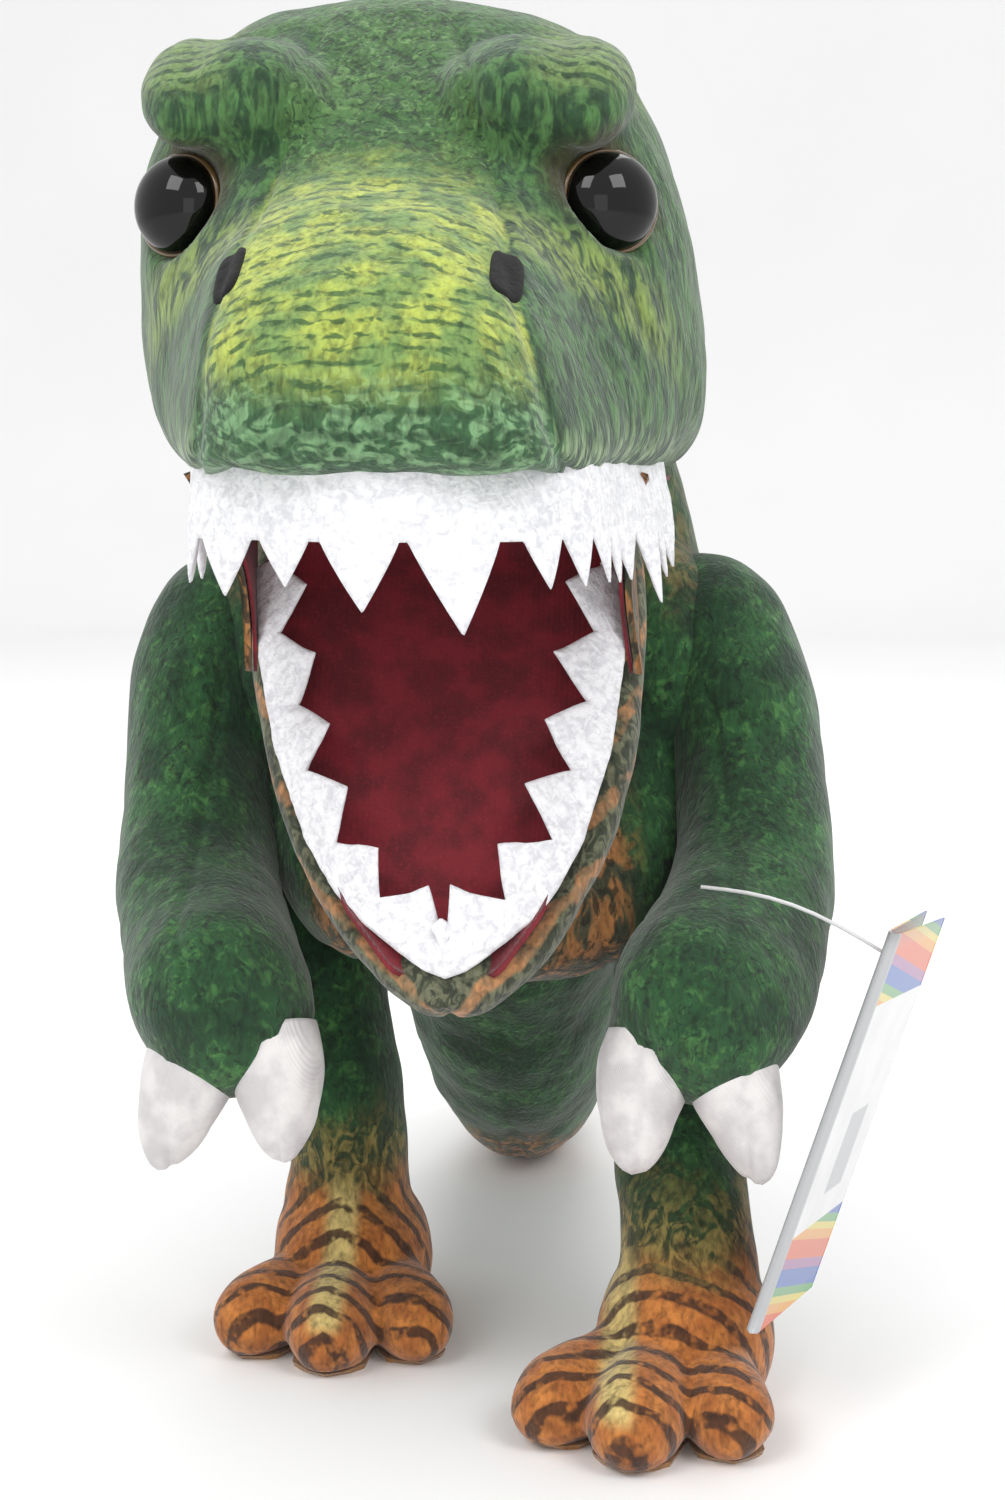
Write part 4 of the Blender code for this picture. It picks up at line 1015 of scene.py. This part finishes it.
def make_palate():
    """The roof's lining: the mouth's outline, inset and rounded in front, lifted as a shallow dome."""
    s = np.linspace(0.0, 1.0, 70)[:, None]
    t = np.linspace(-1.0, 1.0, 61)[None, :]
    y = PALATE_FRONT + (PALATE_BACK - PALATE_FRONT) * s ** 1.4
    corner = np.clip(1.0 - (y - PALATE_FRONT) / PALATE_CORNER, 0.0, 1.0)
    half = (lip_half(y) - PALATE_INSET) * np.sqrt(np.clip(1.0 - corner ** 2, 1e-4, 1.0))
    x = half * t
    y = np.broadcast_to(y, x.shape)
    z = ROOF_LOW + roof_lift(x, y) + 0.0016 * np.abs(t) ** 6
    roof = sheet_mesh("palate", np.stack([x, y, z], -1), PALATE_THICK)
    place(roof, "head", ["palate_lining"], colour=MATERIALS["lining"])


def sheet_mesh(name, grid, thick):
    """A grid of points as cloth: two faces and a closed edge, thick along its own normals."""
    rows, columns = grid.shape[:2]
    down = np.gradient(grid, axis=0)
    right = np.gradient(grid, axis=1)
    normal = np.cross(down, right)
    normal /= np.maximum(np.linalg.norm(normal, axis=-1, keepdims=True), 1e-12)
    if normal[..., 2].mean() > 0:
        normal = -normal
    both = np.stack([grid, grid - normal * thick])
    index = np.arange(rows * columns).reshape(rows, columns)
    quads = np.stack([index[:-1, :-1], index[1:, :-1], index[1:, 1:], index[:-1, 1:]], -1).reshape(-1, 4)
    count = rows * columns
    rim = np.concatenate([index[0, :], index[1:, -1], index[-1, -2::-1], index[-2:0:-1, 0]])
    following = np.roll(rim, -1)
    sides = np.stack([rim, following, following + count, rim + count], 1)
    faces = quads.tolist() + (quads[:, ::-1] + count).tolist() + sides[:, ::-1].tolist()
    return solid(name, both.reshape(-1, 3), faces)


def along_path(path, count):
    """A path resampled to even steps."""
    steps = np.linalg.norm(np.diff(path, axis=0), axis=1)
    run = np.concatenate([[0.0], np.cumsum(steps)])
    want = np.linspace(0.0, run[-1], count)
    return np.stack([np.interp(want, run, path[:, k]) for k in range(3)], 1), want


def tooth_heights(at, tips, total):
    """Straight-sided points: each tip is (place from 0 to 1, half base, height), over a plain band."""
    share = at / total
    rise = np.zeros_like(share)
    for middle, half, tall in tips:
        rise = np.maximum(rise, tall * np.clip(1.0 - np.abs(share - middle) / half, 0.0, 1.0) ** 0.92)
    return rise


def stretched_to(ways, count):
    """A list of directions carried to count entries by straight steps."""
    want, have = np.linspace(0, 1, count), np.linspace(0, 1, len(ways))
    return np.stack([np.interp(want, have, ways[:, k]) for k in range(3)], 1)


def felt_strip(name, path, out, up, band, tips, seed):
    """Felt along a path: rows climb from the sewn edge to each tooth, with a soft ragged edge."""
    columns, rows = 620, 16
    path, run = along_path(path, columns)
    out, up = stretched_to(out, columns), stretched_to(up, columns)
    tall = band + tooth_heights(run, tips, run[-1])
    level = np.linspace(0.0, 1.0, rows)
    share = level[:, None, None]
    curl = 0.0012 * np.sin(run / 0.011 + seed) + 0.0008 * np.sin(run / 0.0047 + 2.0 * seed)
    middle = path + up * tall[:, None] * share + out * (curl[:, None] * share ** 1.5)
    edge = np.sqrt(np.clip(1.0 - level ** 8, 0.05, 1.0))[:, None, None]
    fuzz = 1.0 + 0.12 * wave_noise(middle.reshape(-1, 3), 0.0035, seed + 5).reshape(rows, -1, 1)
    half = out * (sizes().felt / 2) * edge * fuzz
    loop = np.concatenate([middle - half, (middle + half)[::-1]])
    return tube_mesh(name, np.transpose(loop, (1, 0, 2)))


def lip_path(inset):
    """The lip's outline from right to left: the head's half width, closed in front by a quarter ellipse."""
    front = LIP_FRONT + inset
    y = front + (LIP_BACK - front) * np.linspace(0.0, 1.0, 60) ** 2
    corner = np.clip(1.0 - (y - front) / LIP_CORNER, 0.0, 1.0)
    half = (lip_half(y) - inset) * np.sqrt(1.0 - corner ** 2)
    both = np.concatenate([np.stack([-half, y], 1)[::-1], np.stack([half, y], 1)[1:]])
    return np.column_stack([both, np.full(len(both), FELT_TOP)])


def make_upper_teeth():
    """The upper felt hangs from inside the lip and leans a little outwards."""
    path = lip_path(UPPER_FELT_INSET)
    tangent = unit(np.gradient(path, axis=0))
    out = np.cross([0.0, 0.0, 1.0], tangent) * -1.0
    up = unit(np.array([0.0, 0.0, -1.0]) + out * 0.12)
    teeth = felt_strip("upper_felt_teeth", path, out, up, UPPER_BAND, UPPER_TIPS, 3)
    place(teeth, "head", ["upper_teeth"], colour=MATERIALS["felt"])


def dropped(ways):
    """Directions turned about X by the jaw's drop."""
    c, s = math.cos(JAW_DROP), math.sin(JAW_DROP)
    return ways @ np.array([[1.0, 0.0, 0.0], [0.0, c, s], [0.0, -s, c]])


def drop(points):
    """From the closed jaw's layout (forward -Y, rim at z 0) to the open jaw."""
    return dropped(points) + JAW_HINGE


def jaw_rings():
    """Rings along the jaw, with the bed between the rims sunk as a trough."""
    u, v = ring(110, 2.5)
    along, half, deep = (column[:, None] for column in flowing(JAW, 120).T)
    half, deep = np.maximum(half, 0.0006), np.maximum(deep, 0.0012)
    x = u * half
    z = v * deep / 2 - deep / 2
    inside = smoothstep(1.0, 0.72, np.abs(u)) * (v > 0)
    z = z - inside * 0.0065 * smoothstep(0.112, 0.085, along) * v
    return np.stack([x, np.broadcast_to(-along, x.shape), z], -1)


def make_jaw():
    """The jaw's skin, with a seam under its chin."""
    rings = jaw_rings()
    skin = tube_mesh("jaw_skin", drop(rings))

    def chin(points):
        return groove(points[:, 0], SEAM) * (points[:, 2] < 0.162)
    plump(skin, 21, 0.0004, chin, 0.0009)
    nodes = ["jaw_skin_left", "jaw_skin_right", "jaw_stuffing"]
    place(skin, "jaw", nodes, colour=jaw_paint())


def make_jaw_bed():
    """The jaw's lining: nine tenths of its width, hollowed as the cube of the way across."""
    s = np.linspace(0.0, 1.0, 80)[:, None]
    t = np.linspace(-1.0, 1.0, 61)[None, :]
    along = BED_BACK + BED_LENGTH * s
    rows = np.array(JAW)
    half = np.maximum(np.interp(along, rows[:, 0], rows[:, 1]) * 0.90 - 0.0012, 0.0008)
    lift = np.where(along < 0.012, 0.006 * smoothstep(0.012, -0.004, along), 0.0)
    x = half * t
    z = -BED_SUNK + 0.0048 * np.abs(t) ** 3 + lift
    grid = drop(np.stack([x, np.broadcast_to(-along, x.shape), z], -1))
    bed = sheet_mesh("jaw_bed", grid, BED_THICK)
    place(bed, "jaw", ["jaw_lining"], colour=MATERIALS["lining"])


def make_lower_teeth():
    """The lower felt follows the jaw's rim, closed at the chin by a quarter ellipse, and leans inwards."""
    rows = np.array(JAW)
    along = np.linspace(0.016, 0.1065, 60)
    corner = np.clip((along - 0.086) / 0.0205, 0.0, 1.0)
    closing = np.sqrt(np.clip(1.0 - corner ** 2, 0.0, 1.0))
    half = (np.interp(along, rows[:, 0], rows[:, 1]) - JAW_FELT_INSET) * closing
    both = np.concatenate([np.stack([-half, -along], 1), np.stack([half, -along], 1)[::-1][1:]])
    path = np.column_stack([both, np.full(len(both), -0.0008)])
    tangent = unit(np.gradient(path, axis=0))
    inward = np.cross(tangent, [0.0, 0.0, 1.0])
    to_middle = np.array([0.0, -0.045, 0.0]) - path
    inward = inward * np.sign(np.einsum("ij,ij->i", inward, to_middle))[:, None]
    up = unit(inward * 0.80 + np.array([0.0, 0.0, 0.60]))
    out = np.cross(tangent, up)
    teeth = felt_strip("lower_felt_teeth", drop(path), dropped(out), dropped(up), LOWER_BAND, LOWER_TIPS, 8)
    place(teeth, "jaw", ["lower_teeth"], colour=MATERIALS["felt"])


def make_cheeks():
    """Lined webs at the mouth's corners: spokes from the hinge fan from lip to jaw, shortest half way."""
    for side, sign in SIDES:
        turn = np.radians(np.linspace(*WEB_FAN, 40))[:, None]
        share = (turn - turn[0]) / (turn[-1] - turn[0])
        reach = (0.040 - 0.015 * np.sin(np.pi * share) ** 0.8) * np.linspace(0.0, 1.0, 30)[None, :]
        x = (0.0445 - 0.0045 * share - 0.0030 * np.sin(np.pi * share) * reach / 0.03) * sign
        y = JAW_HINGE[1] - reach * np.cos(turn)
        z = JAW_HINGE[2] + 0.001 - reach * np.sin(turn)
        ends = [leaned(JAW_HINGE + step) + HOME for step in WEB_BEND]
        for name, out, thick, slot, finish in WEB_LAYERS:
            web = sheet_mesh(name + side, np.stack([x + out * sign, y, z], -1), thick)
            place(web, ("head", "jaw", *ends), colour=MATERIALS[finish])


def make_throat():
    """The lining's back wall: a shallow bowl between the roof and the jaw's root."""
    wall = tube_mesh("throat_lining", ball(*THROAT, 48))
    place(wall, "head", colour=MATERIALS["lining"])


def make_eyes():
    """Each eye is a quarter ellipse turned about its aim, in a rim turned from a small circle."""
    r = sizes().eye_radius
    turn = np.radians(np.linspace(0.0, 90.0, 26))
    dome = np.stack([0.0010 + 0.0068 * np.sin(turn), (r - 0.0009) * np.cos(turn)], 1)
    back = np.array([[-0.0040, 0.0002], [-0.0040, r - 0.0022], [-0.0010, r - 0.0014], [0.0010, r - 0.0010]])
    loop = np.radians(np.linspace(0.0, 360.0, 25))[:-1]
    rim = np.stack([0.0004 + 0.0008 * np.sin(loop), r - 0.0006 + 0.0006 * np.cos(loop)], 1)
    for side, sign in SIDES:
        spot, aim = leaned(mirror(EYE, sign)), mirror(EYE_AIM, sign)
        globe = tube_mesh("eye_globe_" + side, turned(np.concatenate([back, dome]), spot, aim))
        place(globe, "head", ["eye_" + side], lean=False, colour=MATERIALS["eye"])
        band = ring_mesh("eye_rim_" + side, turned(rim, spot, aim))
        place(band, "head", lean=False, colour=MATERIALS["rim"])


def pressed(skin, starts, way):
    """Where rays first meet a skin: start + t way = a + u (b - a) + v (c - a), for all near faces."""
    a, b, c = corners_of(skin.data).transpose(1, 0, 2)
    near = np.linalg.norm(a - starts.mean(axis=0), axis=1) < PRESS_REACH
    a, one, two = a[near], (b - a)[near], (c - a)[near]
    cross = np.cross(way, two)
    size = np.einsum("ij,ij->i", one, cross)
    solid_face = np.abs(size) > 1e-16
    a, one, two, cross, size = (part[solid_face] for part in (a, one, two, cross, size))
    away = starts[:, None] - a
    u = np.einsum("nmj,mj->nm", away, cross) / size
    turned_away = np.cross(away, one)
    v = (turned_away @ way) / size
    t = np.einsum("nmj,mj->nm", turned_away, two) / size
    t = np.where((u >= 0) & (v >= 0) & (u + v <= 1) & (t > 0), t, np.inf).min(axis=1)
    if not np.isfinite(t).all():
        raise RuntimeError("part of a felt pad lies off the head's skin")
    return starts + t[:, None] * way


def nostril_pad(skin, spot, aim, tilt):
    """An oval pad pressed onto a skin: a superellipse carried along aim, then thickened as a dome."""
    aim = unit(aim)
    side = unit(np.cross(aim, [0.0, 0.0, 1.0]))
    up = np.cross(side, aim)
    side, up = side * math.cos(tilt) + up * math.sin(tilt), up * math.cos(tilt) - side * math.sin(tilt)
    r = np.linspace(0.0, 1.0, 12)[:, None]
    u, v = ring(48, 3.4)
    half_wide, half_tall = NOSTRIL_HALF
    flat = spot + (r * u * half_wide)[..., None] * side + (r * v * half_tall)[..., None] * up
    laid = pressed(skin, flat.reshape(-1, 3) + aim * 0.02, -aim).reshape(flat.shape)
    dome = np.sqrt(np.clip(1.0 - r ** 6, 0.0, 1.0))[..., None] * NOSTRIL_THICK
    return np.concatenate([laid + aim * dome, (laid - aim * NOSTRIL_SUNK)[::-1]])


def make_nostrils():
    """Two felt ovals stitched flat on the snout."""
    skin = bpy.data.objects["head_skin"]
    for side, sign in SIDES:
        spot = leaned(mirror(NOSTRIL, sign)) + HOME
        rings = nostril_pad(skin, spot, mirror(NOSTRIL_AIM, sign), NOSTRIL_TILT * sign)
        pad = tube_mesh("nostril_felt_" + side, rings - HOME)
        place(pad, "head", ["nostril_" + side], lean=False, colour=MATERIALS["black_felt"])


def make_torso():
    """The trunk merged with a bulge at each shoulder."""
    middle, radii = SHOULDER_BULGE
    parts = [torso_rings()] + [ball(mirror(middle, sign), radii) for _, sign in SIDES]
    trunk = merged("torso_skin", parts, sizes().voxel * 1.1, 8)

    def seams(points):
        x, y, _ = points.T
        return groove(x, SEAM) + groove(np.abs(x) - 0.028, SEAM) * (y < 0.02)
    plump(trunk, 31, 0.0007, seams)
    x, y, _ = JOINTS["head_nod"]["pos_m"]
    ends = [(x, y, z) for z in NECK_BEND]
    nodes = ["back_panel_left", "back_panel_right", "belly_panel", "torso_stuffing"]
    place(trunk, ("torso", "head", *ends), nodes, colour=body_paint())


def make_arms():
    """Each arm is swept along its stations, with one seam down its inner side, and ends in two claws."""
    for side, sign in SIDES:
        arm = merged("arm_skin_soft_" + side, [sweep_rings(ARM, 110, 72, sign)], sizes().voxel, 3)

        def seam(points, sign=sign):
            middle = mirror([row[:3] for row in ARM], sign)
            x = np.interp(points[:, 2], middle[::-1, 2], middle[::-1, 0])
            return groove(points[:, 0] - x + 0.0055 * sign, FINE_SEAM) * (points[:, 2] < 0.150)
        plump(arm, 41 if sign > 0 else 45, 0.0005, seam, 0.0008)
        nodes = ["arm_skin_" + side, "arm_stuffing_" + side]
        place(arm, "arm_" + side, nodes, colour=MATERIALS["limb"])
        for name, spread in (("outer", 1.0), ("inner", -1.0)):
            make_claw(side, sign, name, spread)


def make_claw(side, sign, name, spread):
    """A stuffed satin cone, blunt at its tip and pinched where it is sewn in."""
    root = mirror(CLAW_ROOT + [CLAW_SPREAD * spread, 0.0, 0.0], sign)
    aim = unit(mirror([0.20 * spread + 0.08, -0.30, -0.93], sign))
    t = np.linspace(0.0, 1.0, 50)
    pinch = 0.90 + 0.10 * np.sin(np.pi * np.minimum(t * 1.6, 1.0))
    radius = CLAW_RADIUS * (1.0 - t ** 3.0) ** 0.60 * pinch
    profile = np.stack([-CLAW_SEWN + (CLAW_LENGTH[name] + CLAW_SEWN) * t, radius], 1)
    claw = tube_mesh(f"claw_{name}_soft_{side}", turned(profile, root, aim, 56))

    def seam(points):
        return groove(points[:, 0] - root[0] - aim[0] * 0.01, 0.0007)
    plump(claw, 51 + int(spread) + int(3 * sign), 0.0004, seam, 0.0006)
    place(claw, "arm_" + side, [f"claw_{name}_{side}"], colour=MATERIALS["satin"])


def leg_rows(side):
    """The leg's stations moved towards its foot by the step's share: how far down, to the power 2.5."""
    rows = []
    for x, y, z, wide, deep in LEG:
        moved = np.clip((LEG_TOP - z) / (LEG_TOP - LEG_LOW), 0.0, 1.0) ** 2.5
        rows.append((x + STEP_OUT[side] * moved, y + STRIDE[side] * moved, z, wide, deep))
    return rows


def toe(centre, way, reach, radius):
    """A blunt toe turned about its own way, a little fuller towards its tip."""
    aim = np.array([math.sin(way), -math.cos(way), -0.045])
    root = centre + [math.sin(way) * 0.020, -0.006, -0.0036]
    t = np.linspace(0.0, 1.0, 40)
    swell = 0.90 + 0.12 * smoothstep(0.30, 0.75, t)
    shape = np.stack([-TOE_SEWN + (reach + TOE_SEWN) * t, radius * (1.0 - t ** 7) ** 0.5 * swell], 1)
    return turned(shape, root, aim, 40)


def make_legs():
    """Thigh, shank, foot and three toes merged into one skin, flat underneath."""
    for side, sign in SIDES:
        foot_x = (FOOT_X + STEP_OUT[side]) * sign
        centre = np.array([foot_x, LEG[7][1] + STRIDE[side] - 0.004, 0.0135])
        parts = [sweep_rings(leg_rows(side), 90, 64, sign), ball(centre, FOOT_RADII)]
        parts += [toe(centre, math.radians(splay + FOOT_TURN[side]), *size) for splay, *size in TOES]
        leg = merged("leg_skin_soft_" + side, parts, sizes().voxel * 0.85, 5)
        keep_above(leg.data, LEG_FLOOR)

        def seam(points, sign=sign):
            return groove(points[:, 0] - 0.050 * sign, FINE_SEAM) * (points[:, 2] > 0.06)
        plump(leg, 61 if sign > 0 else 66, 0.0004, seam, 0.0007)
        keep_above(leg.data, LEG_FLOOR)
        nodes = [piece + side for piece in ("leg_skin_", "leg_stuffing_", "foot_skin_", "foot_stuffing_")]
        place(leg, "leg_" + side, nodes, colour=leg_paint(side))
        refinish("sole_" + side, MATERIALS["sole"])


def make_tail():
    """The tail is swept along its stations with one seam on top."""
    rows = [(0.0, y, z, wide, deep) for y, z, wide, deep in TAIL]
    tail = merged("tail_skin_soft", [sweep_rings(rows, 130, 80)], sizes().voxel * 1.2, 3)

    def seam(points):
        return groove(points[:, 0], SEAM)
    plump(tail, 71, 0.0007, seam)
    keep_above(tail.data, TAIL_FLOOR)
    x, y, _ = JOINTS["tail_sway"]["pos_m"]
    ends = [(x, y + step, 0.1) for step in TAIL_BEND]
    place(tail, ("torso", "tail", *ends), ["tail_skin", "tail_stuffing"], lean=False,
          colour=tail_paint())


def make_tag():
    """A card folded along its near edge: two leaves that part a little away from the fold."""
    wide, tall = sizes().tag_size
    s = np.linspace(-1.0, 1.0, 61)
    away = np.abs(s)
    x = -TAG_EDGE + wide * away
    fold = np.sqrt(np.clip(1.0 - (1.0 - np.minimum(away / 0.04, 1.0)) ** 2, 0.0, 1.0))
    y = np.sign(s) * (0.0008 * fold + 0.0010 * away)
    z = np.linspace(TAG_ABOVE_HOLE, TAG_ABOVE_HOLE - tall, 24)[:, None]
    grid = np.stack(np.broadcast_arrays(x, y, z), -1)
    flat = grid.reshape(-1, 3)
    hole = np.array(JOINTS["tag_swing"]["pos_m"]) - HOME + [TAG_CLEAR, 0.0, 0.0]
    turn = Matrix.Rotation(TAG_LEAN, 3, "Y") @ Matrix.Rotation(TAG_TURN, 3, "Z")
    card = sheet_mesh("swing_tag", (flat @ np.array(turn).T + hole).reshape(grid.shape), CARD_THICK)
    corner = np.empty(len(card.data.loops), np.int32)
    card.data.loops.foreach_get("vertex_index", corner)
    own = np.concatenate([flat, flat])[corner]
    uv = np.stack([(own[:, 0] + TAG_EDGE) / wide, (own[:, 2] - TAG_ABOVE_HOLE + tall) / tall], 1)
    card.data.uv_layers.new(name="card").data.foreach_set("uv", uv.astype(np.float32).ravel())
    place(card, "tag", ["tag_card"], lean=False, colour=tag_paint())
    refinish("tag_pin", MATERIALS["nylon"])


# Stage

def make_camera():
    """A long-ish lens close in front of the toy, at the height of its mouth and on its left."""
    data = bpy.data.cameras.new("camera")
    data.sensor_fit = "VERTICAL"
    data.sensor_height = 36.0
    data.lens = LENS
    camera = bpy.data.objects.new("camera", data)
    bpy.context.scene.collection.objects.link(camera)
    camera.location = Vector(HOME) + Vector(CAMERA_AT)
    camera.rotation_euler = (math.radians(90) + CAMERA_PITCH, 0.0, CAMERA_YAW)
    bpy.context.scene.camera = camera


def make_floor():
    """A pale floor, flat for three fifths of its run and then a quarter ellipse upwards."""
    t = np.linspace(0.0, 1.0, 80)[:, None]
    climb = np.maximum(t - 0.6, 0.0) / 0.4 * math.pi / 2
    y = np.where(t < 0.6, -1.6 + 3.6 * t / 0.6, 2.0 + 0.7 * np.sin(climb))
    z = 1.6 * (1.0 - np.cos(climb))
    grid = np.stack(np.broadcast_arrays(np.linspace(-2.5, 2.5, 30), y, z), -1)
    floor = sheet_mesh("floor", grid - [0.0, 0.0, 0.0002], 0.0005)
    p = Paint("pale_floor")
    floor.data.materials.append(p.finish(p.mix(p.noise(3.0).step(0.3, 0.7), FLOOR_LOW, FLOOR_HIGH), 0.8))


def make_lights():
    """Four soft square lamps that face the toy, and a bright sky."""
    for index, (spot, size, power) in enumerate(LAMPS):
        data = bpy.data.lights.new(f"lamp_{index}", "AREA")
        data.shape = "SQUARE"
        data.size = size
        data.energy = power
        lamp = bpy.data.objects.new(f"lamp_{index}", data)
        lamp.location = spot
        lamp.rotation_euler = (Vector(LAMPS_FACE) - lamp.location).to_track_quat("-Z", "Y").to_euler()
        bpy.context.scene.collection.objects.link(lamp)
    world = bpy.data.worlds.new("studio")
    world.use_nodes = True
    world.node_tree.nodes["Background"].inputs[0].default_value = SKY
    world.node_tree.nodes["Background"].inputs[1].default_value = SKY_STRENGTH
    bpy.context.scene.world = world
    bpy.context.scene.view_settings.view_transform = "Standard"


# The add-on

class TOY_OT_stage(bpy.types.Operator):
    """Sets the camera, lamps and pale floor."""
    bl_idname = "toy.stage"
    bl_label = "Stage"

    def execute(self, context):
        make_camera()
        make_floor()
        make_lights()
        return {"FINISHED"}


class TOY_OT_materials(bpy.types.Operator):
    """Mixes the finishes that several pieces share."""
    bl_idname = "toy.materials"
    bl_label = "Materials"

    def execute(self, context):
        mix_shared_finishes()
        return {"FINISHED"}


class TOY_OT_head(bpy.types.Operator):
    """Sews the head with its brows."""
    bl_idname = "toy.head"
    bl_label = "Head"

    def execute(self, context):
        make_head_skin()
        return {"FINISHED"}


class TOY_OT_mouth(bpy.types.Operator):
    """Lines the mouth and sews in the jaw, the felt teeth and the cheeks."""
    bl_idname = "toy.mouth"
    bl_label = "Mouth"

    def execute(self, context):
        make_palate()
        make_throat()
        make_upper_teeth()
        make_jaw()
        make_jaw_bed()
        make_lower_teeth()
        make_cheeks()
        return {"FINISHED"}


class TOY_OT_eyes(bpy.types.Operator):
    """Sets the plastic eyes and the felt nostrils."""
    bl_idname = "toy.eyes"
    bl_label = "Eyes and nostrils"

    def execute(self, context):
        make_eyes()
        make_nostrils()
        return {"FINISHED"}


class TOY_OT_torso(bpy.types.Operator):
    """Sews the trunk and neck."""
    bl_idname = "toy.torso"
    bl_label = "Torso"

    def execute(self, context):
        make_torso()
        return {"FINISHED"}


class TOY_OT_arms(bpy.types.Operator):
    """Sews both arms and their satin claws."""
    bl_idname = "toy.arms"
    bl_label = "Arms"

    def execute(self, context):
        make_arms()
        return {"FINISHED"}


class TOY_OT_legs(bpy.types.Operator):
    """Sews both legs down to the toes."""
    bl_idname = "toy.legs"
    bl_label = "Legs"

    def execute(self, context):
        make_legs()
        return {"FINISHED"}


class TOY_OT_tail(bpy.types.Operator):
    """Sews the tail."""
    bl_idname = "toy.tail"
    bl_label = "Tail"

    def execute(self, context):
        make_tail()
        return {"FINISHED"}


class TOY_OT_tag(bpy.types.Operator):
    """Folds the card tag on its nylon pin."""
    bl_idname = "toy.tag"
    bl_label = "Swing tag"

    def execute(self, context):
        make_tag()
        return {"FINISHED"}


STEPS = (TOY_OT_stage, TOY_OT_materials, TOY_OT_head, TOY_OT_mouth, TOY_OT_eyes, TOY_OT_torso, TOY_OT_arms,
         TOY_OT_legs, TOY_OT_tail, TOY_OT_tag)


class TOY_PT_panel(bpy.types.Panel):
    """Lists the toy's pieces in the sidebar."""
    bl_idname = "TOY_PT_panel"
    bl_label = "Plush theropod"
    bl_space_type = "VIEW_3D"
    bl_region_type = "UI"
    bl_category = "Plush"

    def draw(self, context):
        for step in STEPS:
            self.layout.operator(step.bl_idname)


CLASSES = (ToySizes, ToyColours, *STEPS, TOY_PT_panel)


def register():
    """Registers the classes and hangs the sizes and colours on the scene."""
    for item in CLASSES:
        bpy.utils.register_class(item)
    bpy.types.Scene.toy_sizes = bpy.props.PointerProperty(type=ToySizes)
    bpy.types.Scene.toy_colours = bpy.props.PointerProperty(type=ToyColours)


def unregister():
    """Takes back what register did."""
    del bpy.types.Scene.toy_sizes
    del bpy.types.Scene.toy_colours
    for item in reversed(CLASSES):
        bpy.utils.unregister_class(item)


def main():
    """Makes every piece in order."""
    register()
    bpy.ops.toy.stage()
    bpy.ops.toy.materials()
    bpy.ops.toy.head()
    bpy.ops.toy.mouth()
    bpy.ops.toy.eyes()
    bpy.ops.toy.torso()
    bpy.ops.toy.arms()
    bpy.ops.toy.legs()
    bpy.ops.toy.tail()
    bpy.ops.toy.tag()


if __name__ == "__main__":
    main()
